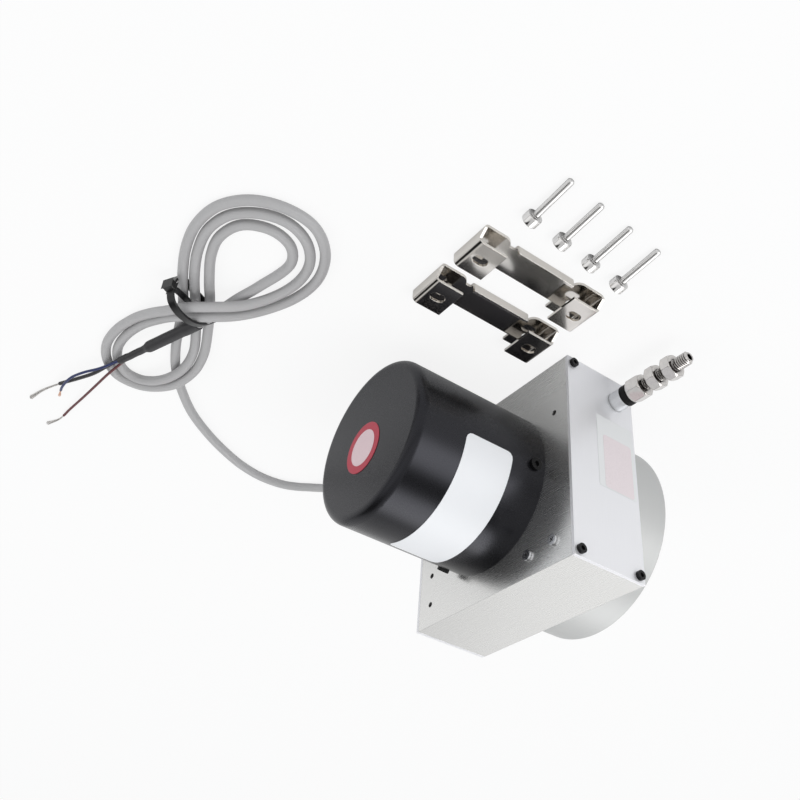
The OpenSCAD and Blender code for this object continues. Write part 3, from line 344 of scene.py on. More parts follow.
def make_cable():
    """The cable's jacket, its sleeve, and the three cores with their bare strands."""
    path = smooth_path(CABLE_ROUTE_MM, CABLE_STEP, floor=CABLE_D / 2 + 0.00005)
    cable = tube("cable_jacket", path, CABLE_D / 2, 20)
    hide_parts("cable")

    line = [SLEEVE_FROM.lerp(SLEEVE_TO, i / 100) for i in range(101)]
    length = (SLEEVE_TO - SLEEVE_FROM).length
    rnd = random.Random(WRINKLE_SEED)
    waves = [(rnd.uniform(20, 90), rnd.uniform(0, TAU), rnd.choice([1, 2, 3]))
             for _ in range(WRINKLES)]

    def sleeve_r(s, w):
        x = s * length
        neck = min(1.0, max(0.0, (x - (length - NECK_L - NECK_SLOPE)) / NECK_SLOPE))
        neck = neck * neck * (3 - 2 * neck)
        r = SLEEVE_R + (NECK_R - SLEEVE_R) * neck
        over_jacket = 1 / (1 + math.exp((x - JACKET_END) / JACKET_SOFT))
        r -= JACKET_STEP * (1 - over_jacket) * (1 - neck)
        wrinkle = sum(math.sin(f * s + ph + m * w) for f, ph, m in waves) / WRINKLES
        r += wrinkle * (WRINKLE + NECK_WRINKLE * neck)
        return r
    sleeve = tube("shrink_sleeve", line, sleeve_r, 28)
    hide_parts("heat_shrink")

    cores = []
    # name, route, diameter, insulated share of the length, and number of strands
    for key, route, d, share, count in (("core_blue", BLUE_ROUTE_MM, CORE_D, 0.86, 7),
                                        ("core_red", RED_ROUTE_MM, CORE_D, 0.84, 7),
                                        ("core_shield", SHIELD_ROUTE_MM, SHIELD_D, 0.66, 14)):
        whole = smooth_path(route, CORE_STEP, floor=d / 2 + 0.0001)
        covered, bare = split_path(whole, share)
        core = tube(key + "_insulation", covered, d / 2, 14)
        core["cover"] = True
        end = strands(key + "_strands", covered[-STRAND_OVERLAP:] + bare[1:], d * STRAND_R, count,
                      STRAND_SPREAD)
        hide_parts(key)
        cores += [core, end]
    return cable, path, sleeve, cores


TIE_AT, TIE_TURN = Vector((-0.0137, 0.1824, 0)), math.radians(-118)
# inside of the strap's loop: over the upper strands to the floor, and back under the lower strands.
# The tie's points are (u, v), along the tie's turn and up
TIE_LOOP_MM = [
    (1.6, 9), (2.4, 12.6), (3.9, 15.4), (7.4, 17), (12.6, 17), (18.1, 15.4), (23.2, 12.3),
    (27.8, 7.7), (30.6, 3.3), (29.6, 1.5), (26.5, 1.05), (20, 1.05), (12, 1.05), (6.4, 1.05),
    (4.1, 2.2), (3.2, 4), (2.2, 6.5)]
TIE_TAIL_MM = [(-0.2, 10.8), (1.2, 9.4), (3.4, 8.7), (7, 8), (11.5, 7.6), (15.5, 7.4)]
TIE_W, TIE_T, TIE_STEP = 0.0036, 0.001, 0.0008
TIE_HEAD_U, TIE_HEAD_V = 0.0004, 0.0100
TIE_HEAD = (0.0034, 0.0042, 0.0046)


def tie_point(u, v, n=0.0):
    """A point of the tie's upright plane, in metres."""
    t = TIE_TURN
    return TIE_AT + Vector((math.cos(t), math.sin(t), 0)) * u + Vector((0, 0, 1)) * v \
        + Vector((math.sin(t), -math.cos(t), 0)) * n


def strap(name, line, normals, width, thick, closed):
    """A flat strap with rounded edges along a line in the tie's plane.

    The line and its outward directions are given as (u, v). width is one number, or a list.
    """
    section = [(-1, 0.15), (-0.92, 0), (0.92, 0), (1, 0.15),
               (1, 0.75), (0.85, 1), (-0.85, 1), (-1, 0.75)]
    verts, m = [], len(section)
    for i, ((u, v), (nu, nv)) in enumerate(zip(line, normals)):
        w = width[i] if isinstance(width, list) else width
        for across, out in section:
            verts.append(tie_point(u + nu * out * thick, v + nv * out * thick, across * w / 2))
    count = len(line)
    faces = grid_faces(count, m, 0, not closed)
    if closed:
        a = (count - 1) * m
        faces += [(a + k, a + (k + 1) % m, (k + 1) % m, k) for k in range(m)]
    return link(name, from_lists(name, verts, faces), "root", 40)


def tie_line(points_mm, closed):
    """Evenly spaced points of a smooth line in the tie's plane, with their outward directions."""
    pts = [(u, v, 0) for u, v in points_mm]
    if closed:
        # the curve runs past both ends of the loop, and is cut where it passes them
        path = smooth_path(pts[-2:] + pts + pts[:2], TIE_STEP)
        half = len(path) // 2
        first, last = (
            min(span, key=lambda i: (path[i] - Vector(end) / 1000).length)
            for span, end in ((range(half), pts[0]), (range(half, len(path)), pts[-1])))
        path = path[first:last + 1]
        gap = path[0] - path[-1]
        path += [path[-1] + gap * i / 4 for i in range(1, 4)]
    else:
        path = smooth_path(pts, TIE_STEP)
    out = []
    for i in range(len(path)):
        along = path[(i + 1) % len(path)] - path[i - 1] if closed else \
            path[min(i + 1, len(path) - 1)] - path[max(i - 1, 0)]
        along.normalize()
        out.append((-along.y, along.x))
    return [(p.x, p.y) for p in path], out


def make_tie():
    """The tie's strap, its head and the strap's loose end."""
    loop, out = tie_line(TIE_LOOP_MM, True)
    band = strap("tie_strap", loop, out, TIE_W, TIE_T, True)
    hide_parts("cable_tie")

    # the head stands on the strap's side; the strap's end goes through it, in between the strands
    bm = bmesh.new()
    bmesh.ops.create_cube(bm, size=1)
    for vert in bm.verts:
        u, v, n = (share * side for share, side in zip(vert.co, TIE_HEAD))
        vert.co = tie_point(TIE_HEAD_U + u, TIE_HEAD_V + v, n)
    bmesh.ops.bevel(bm, geom=bm.edges[:], offset=0.0004, segments=2, affect="EDGES", profile=0.6)
    mesh = bpy.data.meshes.new("tie_head")
    bm.to_mesh(mesh)
    bm.free()
    head = link("tie_head", mesh, "root", 40)
    line, out = tie_line(TIE_TAIL_MM, False)
    # a little narrower than the strap, and drawn to a tip
    widths = [TIE_W * 0.86 * min(1.0, 0.35 + 3.0 * (1 - i / (len(line) - 1)))
              for i in range(len(line))]
    tail = strap("tie_tail", line, out, widths, TIE_T, False)
    return [band, head, tail]


cable, cable_path, sleeve, cores = make_cable()
tie = make_tie()


# ---------------------------------------------------------------- draw wire and its fitting

ROPE_LAY, ROPE_STEPS, ROPE_GROOVE = 0.0055, 220, 0.16
STUD_D, STUD_PITCH, STUD_THREAD_DEPTH = 0.006, 0.001, 0.00055
STUD_BORE_R, STUD_BORE_DEPTH, STUD_GROOVE_L = 0.0015, 0.009, 0.0006
FITTING_HEX_L, HEX_CHAMFER = 0.0077, 0.001
KIT_SCREW_D, KIT_SCREW_PITCH, KIT_HEAD_D, KIT_HEAD_H = 0.003, 0.0005, 0.007, 0.004
KNURL_RIBS = 36


def make_draw_wire():
    """The taut wire from the drum to the fitting, twisted of six strands. It stretches along X."""
    lo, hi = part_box("draw_wire")
    r, y, z = (hi.z - lo.z) / 2, (lo.y + hi.y) / 2, (lo.z + hi.z) / 2
    span = hi.x - lo.x
    path = [Vector((lo.x + span * i / ROPE_STEPS, y, z)) for i in range(ROPE_STEPS + 1)]

    def rope(s, w):
        lobe = abs(math.cos(3 * (w - TAU * s * span / ROPE_LAY)))
        return r * (1 - ROPE_GROOVE + ROPE_GROOVE * lobe)
    wire = tube("wire_rope", path, rope, 30, body=None)
    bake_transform(wire)
    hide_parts("draw_wire")
    return wire


def make_end_fitting():
    """Hexagon, threaded stud and its bore, as one turned and threaded piece."""
    lo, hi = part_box("end_fitting")
    nut_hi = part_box("fitting_nuts")[1]
    y, z = (lo.y + hi.y) / 2, (lo.z + hi.z) / 2
    flats = min(hi.z - lo.z, hi.y - lo.y)
    flats_up = (hi.z - lo.z) < (hi.y - lo.y)
    corner = flats / math.cos(math.pi / 6) / 2
    shape = hexagon(flats, 0.0 if flats_up else math.pi / 6)
    total, r, hex_l = hi.x - lo.x, STUD_D / 2, FITTING_HEX_L

    def chamfer(share):
        """The hexagon in a circle that grows from its flats (0) to just past its corners (1)."""
        return lesser(shape, flats / 2 + (corner - flats / 2 + 0.0002) * share)

    def thread(start, end):
        return thread_rows(start, end, STUD_D, STUD_PITCH, STUD_THREAD_DEPTH)

    rising = [i / 7 for i in range(8)]
    falling = [1 - share for share in rising]
    groove = nut_hi.x + 0.0003 - lo.x
    groove_end = groove + STUD_GROOVE_L
    rows = [(0.0, 0.0004), (0.0, 0.0008), (0.0, flats * 0.40), (0.0, flats * 0.47)]
    rows += [(HEX_CHAMFER * share, chamfer(share)) for share in rising]
    rows += [(hex_l - HEX_CHAMFER * share, chamfer(share)) for share in falling]
    rows += [(hex_l, flats * 0.47), (hex_l, flats * 0.36), (hex_l + 0.0001, r - 0.0004)]
    rows += thread(hex_l + 0.0006, groove - 0.0001)
    rows += [(groove, r - 0.0005), (groove_end, r - 0.0005)]
    rows += thread(groove_end + 0.0001, total - 0.0008)
    rows += [(total - 0.0006, r - 0.00055), (total, r - 0.0009),
             (total, STUD_BORE_R + 0.00015), (total - 0.0002, STUD_BORE_R),
             (total - STUD_BORE_DEPTH, STUD_BORE_R), (total - STUD_BORE_DEPTH - 0.0003, 0.0006)]
    stud = lathe("threaded_stud", (lo.x, y, z), (1, 0, 0), rows, 48, "wire_end", 28)
    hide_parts("end_fitting")
    return stud


def cap_screw(name, head, direction, length, d, pitch, head_d, head_h):
    """A socket cap screw: knurled head, hexagon socket and a threaded shank."""
    r, socket = head_d / 2, hexagon(d * 0.78)

    def knurl(w):
        return r - 0.006 * d * (0.5 + 0.5 * math.cos(KNURL_RIBS * w))

    # from the socket's bottom over the head and down its side, then along the shank
    rows = [(head_h * 0.62, d * 0.02), (head_h * 0.5, lambda w: socket(w) * 0.55),
            (head_h * 0.45, socket), (head_h * 0.04, socket), (0.0, lambda w: socket(w) * 1.05),
            (0.0, r - d * 0.16), (d * 0.025, r - d * 0.075), (d * 0.09, r - d * 0.03),
            (d * 0.12, knurl), (head_h - d * 0.1, knurl),
            (head_h - d * 0.04, r - d * 0.03), (head_h, r - d * 0.07),
            (head_h, d * 0.6), (head_h + d * 0.06, d / 2), (head_h + d * 0.25, d / 2)]
    rows += thread_rows(head_h + d * 0.3, length - d * 0.16, d, pitch, pitch * 0.05,
                        taper=0.0006, steep=7.0)
    rows += [(length - d * 0.1, d / 2 - pitch * 0.4), (length, d / 2 - pitch * 0.9),
             (length, d * 0.04)]
    return lathe(name, head, direction, rows, KNURL_RIBS * 2, "root", 30)


def make_kit_screws():
    """One screw for each solid of the CAD node."""
    made = []
    for i, pts in enumerate(islands("bracket_screws")):
        head, direction, length = long_axis(pts)
        s = cap_screw(f"kit_screw_{i + 1}", head, direction, length,
                      KIT_SCREW_D, KIT_SCREW_PITCH, KIT_HEAD_D, KIT_HEAD_H)
        made.append(s)
    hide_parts("bracket_screws")
    return made


wire = make_draw_wire()
stud = make_end_fitting()
kit_screws = make_kit_screws()


# ---------------------------------------------------------------- bare film and the disc's middle

# middle (y, z), sides, corner radius and thickness of each sheet, and how far it's off the plate
FILM = ((-0.0075, 0.043), (0.022, 0.037), 0.001, 0.00004, 0.00002)
TINT = ((-0.0085, 0.0475), (0.017, 0.027), 0.0015, 0.00003, 0.00005)
DISC_MIDDLE_R = 0.0085
DISC_MIDDLE_OFF, DISC_MIDDLE_TOP = 0.00001, 0.00005  # its underside and top, above the disc


def plate_sheet(name, middle, size, corner, thick, off):
    """A thin sheet with round corners on the outlet plate's outer side."""
    across, along, out = Vector((0, 1, 0)), Vector((0, 0, 1)), Vector((1, 0, 0))
    centre = Vector((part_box("outlet_plate")[1].x + off, *middle))
    ring = []
    for cx, cy, a0 in ((1, 1, 0), (-1, 1, 90), (-1, -1, 180), (1, -1, 270)):
        for k in range(7):
            a = math.radians(a0 + 15 * k)
            ring.append((cx * (size[0] / 2 - corner) + corner * math.cos(a),
                         cy * (size[1] / 2 - corner) + corner * math.sin(a)))
    n = len(ring)
    verts = [centre + across * p + along * q for p, q in ring]
    verts += [v + out * thick for v in verts]
    faces = [tuple(reversed(range(n))), tuple(range(n, 2 * n))]
    faces += [(k, (k + 1) % n, n + (k + 1) % n, n + k) for k in range(n)]
    return link(name, from_lists(name, verts, faces), "root", 30)


film = plate_sheet("plate_film", *FILM)
patch = plate_sheet("plate_film_tint", *TINT)

disc_lo, disc_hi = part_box("cover_disc")
disc_at = ((disc_lo.x + disc_hi.x) / 2, disc_hi.y, (disc_lo.z + disc_hi.z) / 2)
middle = lathe("disc_middle", disc_at, (0, 1, 0),
               [(DISC_MIDDLE_OFF, 0.0001), (DISC_MIDDLE_OFF, DISC_MIDDLE_R),
                (DISC_MIDDLE_TOP, DISC_MIDDLE_R), (DISC_MIDDLE_TOP, 0.0001)], 64)

# ---------------------------------------------------------------- materials

DRUM_AXIS = (-0.002, 0.0, 0.049)  # a point of the axis, which runs along Y


class Nodes:
    """Short calls for building a node tree."""

    def __init__(self, tree):
        self.tree = tree

    def add(self, kind, inputs=None, **settings):
        n = self.tree.nodes.new(kind)
        for k, v in settings.items():
            setattr(n, k, v)
        for k, v in (inputs or {}).items():
            if isinstance(v, bpy.types.NodeSocket):
                self.tree.links.new(v, n.inputs[k])
            else:
                n.inputs[k].default_value = v
        return n

    def math(self, op, a, b=0.0, clamp=False):
        return self.add("ShaderNodeMath", {0: a, 1: b}, operation=op, use_clamp=clamp).outputs[0]

    def times(self, a, b):
        return self.math("MULTIPLY", a, b)

    def vectors(self, op, a, b, output=0):
        return self.add("ShaderNodeVectorMath", {0: a, 1: b}, operation=op).outputs[output]

    def dot(self, a, b):
        return self.vectors("DOT_PRODUCT", a, b, "Value")

    def distance(self, a, b):
        return self.vectors("DISTANCE", a, b, "Value")

    def mix(self, share, a, b):
        n = self.add("ShaderNodeMix", data_type="RGBA")
        for key, value in ((0, share), (6, a), (7, b)):
            if isinstance(value, bpy.types.NodeSocket):
                self.tree.links.new(value, n.inputs[key])
            else:
                n.inputs[key].default_value = value if key == 0 else (*value, 1.0)
        return n.outputs[2]

    def range(self, value, low, high, from_low=0.0, from_high=1.0):
        return self.add("ShaderNodeMapRange", {0: value, 1: from_low, 2: from_high,
                                               3: low, 4: high}).outputs[0]

    def noise(self, vector, detail, rough=0.55):
        return self.add("ShaderNodeTexNoise", {"Vector": vector, "Scale": 1.0, "Detail": detail,
                                               "Roughness": rough}).outputs[0]

    def place(self, scale):
        """Object coordinates times a number, or times one number for each axis."""
        co = self.add("ShaderNodeTexCoord").outputs["Object"]
        scale = scale if isinstance(scale, tuple) else (scale,) * 3
        return self.add("ShaderNodeMapping", {"Vector": co, "Scale": scale}).outputs[0]

    def turned(self, centre, radial, along):
        """Coordinates that are the same all round the Y axis through centre, for turned metal."""
        co = self.add("ShaderNodeTexCoord").outputs["Object"]
        rel = self.vectors("SUBTRACT", co, centre)
        x, y, z = self.add("ShaderNodeSeparateXYZ", {0: rel}).outputs
        r = self.math("SQRT", self.math("ADD", self.times(x, x), self.times(z, z)))
        return self.add("ShaderNodeCombineXYZ", {0: self.times(r, radial),
                                                 1: self.times(y, along)}).outputs[0]

    def glow(self, kind, colour, strength=1.0):
        """An emission, or a world's background."""
        return self.add(kind, {"Color": colour, "Strength": strength}).outputs[0]

    def blend(self, share, a, b):
        return self.add("ShaderNodeMixShader", {0: share, 1: a, 2: b}).outputs[0]

    def shiny_ray(self, rays):
        """1 for what is seen in a shiny or clear surface. rays is a light path node."""
        return self.math("ADD", rays.outputs["Is Glossy Ray"], rays.outputs["Is Transmission Ray"],
                         True)


FINE_SHARE, CLOUD_SHARE, MIDDLE_NOISE, HIGH_NOISE = 0.6, 0.4, (0.3, 0.7), (0.35, 0.6)
# how far a normal leans at a painted edge line, and how open a spot is from deep in a crevice to
# outside, for painted shade
LEAN_RANGE, OPEN_RANGE = (0.01, 0.15), (0.35, 0.85)


def finish(name, colour, rough, metal=0.0, grain=1500, turned=None, bump=0.2, depth=2e-5,
           tone=0.05, rough_tone=0.06, patch=30.0, edge=0.00015, painted_edge_line=0.0,
           painted_edge_colour=(0.8, 0.8, 0.8), wide=2.5, crevice_shade_reach=0.0,
           crevice_shade_colour=(0.02, 0.018, 0.016), **sockets):
    """A surface with fine grain, cloudy tone, uneven gloss, softened edges, painted edge lines and
    painted shade in crevices.

    grain and patch are how fine the grain and the clouds are, per metre. turned is the grain of
    turned metal, across and along the drum's axis. bump and depth are the grain's height, tone and
    rough_tone how much colour and gloss vary. edge is the radius of a softened edge, and
    painted_edge_line paints edges wide times as broad with painted_edge_colour: a painted highlight
    where that colour is lighter than the surface, a painted dark reflection where it is darker.
    crevice_shade_reach is how far off a surface still darkens another's colour, as painted shade.
    """
    m = bpy.data.materials.new(name)
    m.use_nodes = True
    t = Nodes(m.node_tree)
    bsdf = m.node_tree.nodes["Principled BSDF"]
    where = t.turned(DRUM_AXIS, *turned) if turned else t.place(grain)
    fine = t.noise(where, 4.0, 0.6)
    cloud = t.noise(t.place(patch), 2.0)
    share = t.math("ADD", t.times(fine, FINE_SHARE), t.times(cloud, CLOUD_SHARE), True)
    dark = [c * (1 - tone) for c in colour]
    light = [min(1.0, c * (1 + tone)) for c in colour]
    base = t.mix(t.range(share, 0, 1, *MIDDLE_NOISE), dark, light)
    soft = t.add("ShaderNodeBevel", {"Radius": edge}, samples=4).outputs[0]
    gloss = t.range(share, rough - rough_tone, rough + rough_tone, *MIDDLE_NOISE)
    if painted_edge_line:
        # painted edge line: near an edge, the normal of a wide bevel leans away from the face's
        # own, and there the colour turns to the edge colour, a painted highlight where lighter, a
        # dark reflection where darker
        leaning = t.add("ShaderNodeBevel", {"Radius": edge * wide}, samples=4).outputs[0]
        flat = t.add("ShaderNodeNewGeometry").outputs["Normal"]
        near = t.range(t.math("SUBTRACT", 1.0, t.dot(leaning, flat)), 0, painted_edge_line, *LEAN_RANGE)
        near = t.math("MULTIPLY", near, t.range(fine, 0.5, 1.0, *HIGH_NOISE), True)
        base = t.mix(near, base, painted_edge_colour)
    # painted shade: where the ambient occlusion finds a spot closed in, as in thread valleys and
    # between nuts, the colour darkens
    if crevice_shade_reach:
        open_share = t.add("ShaderNodeAmbientOcclusion", {"Distance": crevice_shade_reach},
                           samples=6).outputs["AO"]
        base = t.mix(t.range(open_share, 1, 0, *OPEN_RANGE), base, crevice_shade_colour)
    normal = t.add("ShaderNodeBump", {"Strength": bump, "Distance": depth, "Height": fine,
                                      "Normal": soft}).outputs[0]
    for socket, value in (("Base Color", base), ("Roughness", gloss), ("Normal", normal)):
        m.node_tree.links.new(value, bsdf.inputs[socket])
    bsdf.inputs["Metallic"].default_value = metal
    for k, v in sockets.items():
        bsdf.inputs[k.replace("_", " ")].default_value = v
    return m


def paint(material, *targets):
    """Gives a material to CAD nodes, by name, or to pieces."""
    for t in targets:
        o = NODES[t] if isinstance(t, str) else t
        if not o.material_slots:
            o.data.materials.append(material)
        for s in o.material_slots:
            s.material = material


# painted edge lines: a darker edge colour paints dark reflections along the edges of the brushed
# housing, bright steel and kit screws; a lighter one paints highlights on the plates, black screws
# and cover
brushed = finish("brushed_aluminium", (0.74, 0.738, 0.726), rough=0.27, metal=0.92,
                 grain=(40, 2600, 2600), bump=0.009, depth=1.2e-5, tone=0.018, rough_tone=0.015,
                 edge=0.0002, wide=2, painted_edge_line=0.6, painted_edge_colour=(0.4, 0.4, 0.4))
plate = finish("satin_plate", (0.82, 0.822, 0.845), rough=0.46, metal=0.7, grain=(2500, 2500, 90),
               bump=0.15, depth=1e-5, tone=0.02, rough_tone=0.05, edge=0.0002, painted_edge_line=0.5,
               painted_edge_colour=(0.92, 0.92, 0.93))
turned_al = finish("turned_aluminium", (0.66, 0.665, 0.67), rough=0.4, metal=0.9,
                   turned=(2500, 2500), bump=0.3, tone=0.05)
cup = finish("cup_aluminium", (0.54, 0.545, 0.54), rough=0.5, metal=0.5, turned=(1800, 1800),
             bump=0.2, depth=1.5e-5, tone=0.03, rough_tone=0.06, edge=0.0003)
# crevice_shade_reach paints shade into hollows, such as thread valleys and the gaps between nuts,
# on the steels below
black_steel = finish("black_steel", (0.006, 0.006, 0.0065), rough=0.2, grain=3000, bump=0.12,
                     tone=0.3, painted_edge_line=0.3, painted_edge_colour=(0.08, 0.08, 0.08), crevice_shade_reach=0.001,
                     crevice_shade_colour=(0.001, 0.001, 0.001), Specular_IOR_Level=0.2)
zinc = finish("zinc_steel", (0.8, 0.81, 0.84), rough=0.2, metal=1.0, grain=2500, bump=0.1,
              tone=0.08, edge=0.0001, crevice_shade_reach=0.0009)
bright_steel = finish("bright_steel", (0.70, 0.675, 0.655), rough=0.1, metal=1.0, grain=2500,
                      bump=0.12, tone=0.12, rough_tone=0.04, edge=0.00015, wide=4, painted_edge_line=0.8,
                      painted_edge_colour=(0.07, 0.065, 0.06), crevice_shade_reach=0.0036, patch=400)
kit_steel = finish("kit_steel", (0.76, 0.75, 0.74), rough=0.07, metal=1.0, grain=2500, bump=0.03,
                   depth=1e-5, tone=0.05, rough_tone=0.03, edge=0.00005, wide=4, painted_edge_line=0.7,
                   painted_edge_colour=(0.06, 0.06, 0.06), crevice_shade_reach=0.003)
bush_steel = finish("bush_steel", (0.68, 0.69, 0.7), rough=0.14, metal=1.0, grain=(400, 4000, 4000),
                    bump=0.35, tone=0.12, edge=0.0002, crevice_shade_reach=0.002,
                    crevice_shade_colour=(0.05, 0.05, 0.05))
bearing_steel = finish("bearing_steel", (0.6, 0.6, 0.61), rough=0.16, metal=1.0, grain=3000,
                       bump=0.05)
spring_steel = finish("spring_steel", (0.32, 0.33, 0.36), rough=0.3, metal=1.0,
                      grain=(200, 3000, 200), bump=0.1, tone=0.1)
rope_steel = finish("wire_rope", (0.55, 0.55, 0.55), rough=0.3, metal=1.0, grain=4000, bump=0.2,
                    tone=0.1)
nickel = finish("bright_nickel", (0.70, 0.67, 0.63), rough=0.1, metal=1.0, grain=(40, 40, 2500),
                bump=0.04, depth=1e-5, tone=0.05, rough_tone=0.04, edge=0.0002, patch=60)
cover_black = finish("satin_charcoal", (0.0042, 0.0042, 0.0048), rough=0.28, grain=2200, bump=0.1,
                     depth=1e-5, tone=0.1, rough_tone=0.03, edge=0.0003, painted_edge_line=0.5,
                     painted_edge_colour=(0.07, 0.07, 0.075), Specular_IOR_Level=0.35,
                     Specular_Tint=(0.94, 0.95, 1.08, 1))
label_white = finish("label_white", (0.84, 0.85, 0.87), rough=0.42, grain=4000, bump=0.05,
                     tone=0.012)
film_clear = finish("film_clear", (0.79, 0.80, 0.805), rough=0.35, grain=3000, bump=0.04, tone=0.01)
film_pale = finish("film_pale", (0.80, 0.72, 0.74), rough=0.3, grain=3000, bump=0.04, tone=0.01)
disc_red = finish("disc_red", (0.46, 0.02, 0.05), rough=0.4, grain=3000, bump=0.05, tone=0.05)
disc_pale = finish("disc_pale", (0.78, 0.6, 0.63), rough=0.4, grain=3000, bump=0.05, tone=0.04)
rubber = finish("rubber_black", (0.004, 0.004, 0.0042), rough=0.55, grain=3500, bump=0.4, tone=0.2,
                Specular_IOR_Level=0.2)
guide_white = finish("guide_white", (0.8, 0.79, 0.74), rough=0.4, tone=0.02)
brass = finish("brass", (0.72, 0.5, 0.2), rough=0.28, metal=1.0, tone=0.06)
copper = finish("copper", (0.75, 0.42, 0.27), rough=0.3, metal=1.0, grain=5000, tone=0.1)
tinned = finish("tinned_copper", (0.6, 0.58, 0.56), rough=0.3, metal=1.0, grain=5000, tone=0.12)
board_green = finish("board_green", (0.012, 0.12, 0.045), rough=0.35, grain=900, tone=0.1,
                     Coat_Weight=0.4)
terminal_green = finish("terminal_green", (0.03, 0.3, 0.1), rough=0.45, tone=0.06)
sensor_blue = finish("sensor_blue", (0.03, 0.08, 0.3), rough=0.35, tone=0.08)
gland_black = finish("gland_black", (0.02, 0.02, 0.022), rough=0.45, grain=2500, bump=0.3,
                     tone=0.15)
cable_grey = finish("cable_grey", (0.44, 0.435, 0.437), rough=0.42, grain=1600, bump=0.2,
                    depth=2e-5, tone=0.03, edge=0.00005)
shrink = finish("shrink_black", (0.03, 0.029, 0.031), rough=0.5, grain=1800, bump=0.35, tone=0.15,
                edge=0.00005)
blue = finish("core_blue", (0.014, 0.024, 0.1), rough=0.4, grain=2500, tone=0.1, edge=0.00005)
red = finish("core_red", (0.10, 0.012, 0.016), rough=0.4, grain=2500, tone=0.1, edge=0.00005)
tie_black = finish("tie_black", (0.006, 0.006, 0.0065), rough=0.32, grain=2500, bump=0.2, tone=0.2,
                   edge=0.00005)

paint(brushed, "housing")
paint(plate, "outlet_plate", "rear_plate")
paint(turned_al, "cover_flange", "spring_flange", "drum", "shaft_coupling", "sensor_bracket")
paint(cup, "spring_housing")
paint(black_steel, "end_plate_screws", "flange_screws", "grub_screws", "spring_housing_screws",
      "cover_screws")
paint(zinc, "face_screws")
paint(bright_steel, "fitting_nuts", stud)
paint(kit_steel, *kit_screws)
paint(bush_steel, "outlet_bush")
paint(bearing_steel, "front_bearing", "rear_bearing", "drum_shaft", "spring_arbor", "sensor_shaft")
paint(spring_steel, "main_spring", "retaining_rings")
paint(rope_steel, "wire_winding", wire)
paint(sensor_blue, "multiturn_sensor")
paint(brass, "sensor_standoffs", "board_standoffs")
paint(board_green, "circuit_board")
paint(terminal_green, "terminal_block")
paint(cover_black, "sensor_cover")
paint(label_white, "cover_label")
paint(film_clear, film)
paint(film_pale, patch)
paint(disc_red, "cover_disc")
paint(disc_pale, middle)
paint(gland_black, "cable_gland", "gland_nut")
paint(guide_white, "wire_guide")
paint(rubber, "bumper_ring")
paint(copper, "wire_ferrule")
paint(nickel, "bracket_inner", "bracket_outer")
paint(cable_grey, cable)
paint(shrink, sleeve)
INSULATION = {"core_blue_insulation": blue, "core_red_insulation": red}
for core in cores:
    if core.name.endswith("_strands"):
        paint(copper if "blue" in core.name else tinned, core)
    else:
        paint(INSULATION.get(core.name, shrink), core)
paint(tie_black, *tie)


# ---------------------------------------------------------------- floor, light and background

def oblong(wide, high, soft):
    """Edges of an oblong as (angle, distance, softness), in degrees round its middle."""
    return ((0, wide, soft), (180, wide, soft), (90, high, soft), (270, high, soft))


# bright boxes and dark cards that shiny surfaces see: azimuth, elevation, turn, edges and level
STUDIO = (
    (-107, 58, 0, oblong(15, 14, 5), 3.6),
    (-31, 22, 0, oblong(15, 16, 6), 3.5),
    (-152, 26, 0, oblong(9, 12, 4), 0.7),
    (132, 40, 0, oblong(15, 25, 3), 0.02),
    (-50, 50, 0, oblong(14, 10, 3), 0.0),
    (-141.7, 43, 28, oblong(6, 4.5, 1.5), 0.4))
# name, place, diameter and power of the lamps
LAMPS = (("key", (0.7, -0.3, 1.1), 0.8, 5.0), ("fill", (-0.5, 0.9, 0.8), 0.8, 2.0))
LAMP_TARGET = Vector((0, 0.05, 0.04))
WHITE = (1, 1, 1, 1)
FLOOR_HALF, FLOOR_TONE, FLOOR_SEEN = 3, 0.86, 0.86
FLOOR_SHADES = (((0, 0.02, 0), 0.18, 0.85, 0.05, 0.25), ((0.08, 0.085, 0), 0.3, 1.0, 0.05, 0.09))
SKY_COLOUR, SKY_STRENGTH = (0.97, 0.985, 1, 1), 0.72
ROOM_TONE, BAND_TONE, TOP_TONE = (1, 1, 1), (0.3, 0.3, 0.31), (0.66, 0.66, 0.66)
# where the room's grey band begins and ends, and its top begins, as the height of a direction
BAND_START, BAND_END, TOP_START, BAND_SHARE = (0.0, 0.05), (0.12, 0.25), (0.6, 0.8), 0.55


def make_floor():
    """A white floor. Shiny surfaces see it dark near the object and light farther away."""
    h = FLOOR_HALF
    mesh = from_lists("floor", [(-h, -h, 0), (h, -h, 0), (h, h, 0), (-h, h, 0)], [(0, 1, 2, 3)])
    floor = bpy.data.objects.new("floor", mesh)
    bpy.context.scene.collection.objects.link(floor)
    m = bpy.data.materials.new("floor_white")
    m.use_nodes = True
    t = Nodes(m.node_tree)
    m.node_tree.nodes.remove(m.node_tree.nodes["Principled BSDF"])
    rays = t.add("ShaderNodeLightPath")
    spot = t.add("ShaderNodeNewGeometry").outputs["Position"]
    shade = t.times(*(t.range(t.distance(spot, at), *tones) for at, *tones in FLOOR_SHADES))
    seen = t.math("ADD", t.times(rays.outputs["Is Camera Ray"], FLOOR_SEEN),
                  t.times(t.shiny_ray(rays), shade), True)
    matt = t.add("ShaderNodeBsdfDiffuse", {"Color": (FLOOR_TONE,) * 3 + (1,)}).outputs[0]
    both = t.blend(seen, matt, t.glow("ShaderNodeEmission", WHITE))
    m.node_tree.links.new(both, m.node_tree.nodes["Material Output"].inputs[0])
    paint(m, floor)


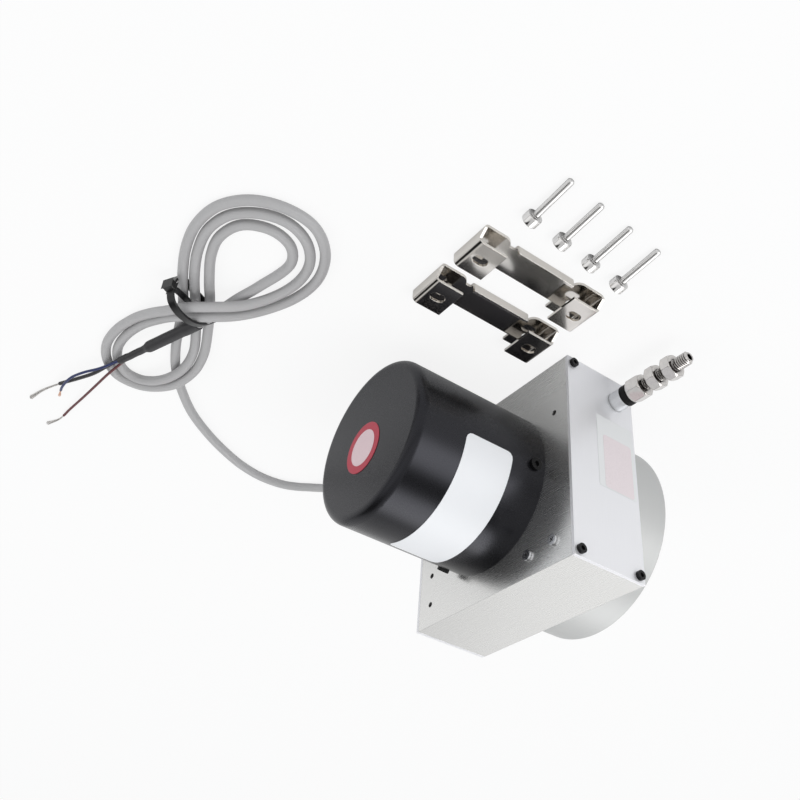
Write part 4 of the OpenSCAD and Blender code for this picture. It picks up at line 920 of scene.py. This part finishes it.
def in_oblong(t, way, azimuth, elevation, turn, edges):
    """How far a direction lies within a box or card of the studio, from 0 to 1."""
    az, el, roll = (math.radians(d) for d in (azimuth, elevation, turn))
    middle = Vector((math.cos(el) * math.cos(az), math.cos(el) * math.sin(az), math.sin(el)))
    left = Vector((math.sin(az), -math.cos(az), 0))
    up = middle.cross(left) * -1
    share = t.math("GREATER_THAN", t.dot(way, middle), 0.0)
    for angle, far, soft in edges:
        w = math.radians(angle) + roll
        side = t.dot(way, left * math.cos(w) + up * math.sin(w))
        near_edge, far_edge = (math.sin(math.radians(far + d)) for d in (-soft, soft))
        share = t.times(share, t.range(side, 1, 0, near_edge, far_edge))
    return share


def make_world():
    """A plain sky for matt surfaces, a studio for shiny ones, and white for the camera."""
    world = bpy.data.worlds.new("studio")
    world.use_nodes = True
    bpy.context.scene.world = world
    t = Nodes(world.node_tree)
    world.node_tree.nodes.remove(world.node_tree.nodes["Background"])
    rays = t.add("ShaderNodeLightPath")
    way = t.add("ShaderNodeTexCoord").outputs["Generated"]
    height = t.add("ShaderNodeSeparateXYZ", {0: way}).outputs[2]
    band = t.times(t.range(height, 0, 1, *BAND_START), t.range(height, 1, 0, *BAND_END))
    room = t.mix(t.times(band, BAND_SHARE), ROOM_TONE, BAND_TONE)
    room = t.mix(t.range(height, 0, 1, *TOP_START), room, TOP_TONE)
    for *place, level in STUDIO:
        room = t.mix(in_oblong(t, way, *place), room, (level,) * 3)
    sky = t.glow("ShaderNodeBackground", SKY_COLOUR, SKY_STRENGTH)
    white = t.glow("ShaderNodeBackground", WHITE)
    both = t.blend(t.shiny_ray(rays), sky, t.glow("ShaderNodeBackground", room))
    both = t.blend(rays.outputs["Is Camera Ray"], both, white)
    world.node_tree.links.new(both, world.node_tree.nodes["World Output"].inputs[0])


def make_lamps():
    """Soft lamps that shiny surfaces don't see."""
    for name, at, size, power in LAMPS:
        data = bpy.data.lights.new(name, "AREA")
        data.shape, data.size, data.energy = "DISK", size, power
        lamp = bpy.data.objects.new(name, data)
        bpy.context.scene.collection.objects.link(lamp)
        lamp.location = at
        lamp.visible_glossy = False
        lamp.rotation_mode = "QUATERNION"
        lamp.rotation_quaternion = (Vector(at) - LAMP_TARGET).to_track_quat("Z", "Y")


make_floor()
make_world()
make_lamps()
scene = bpy.context.scene
scene.view_settings.view_transform = "Standard"
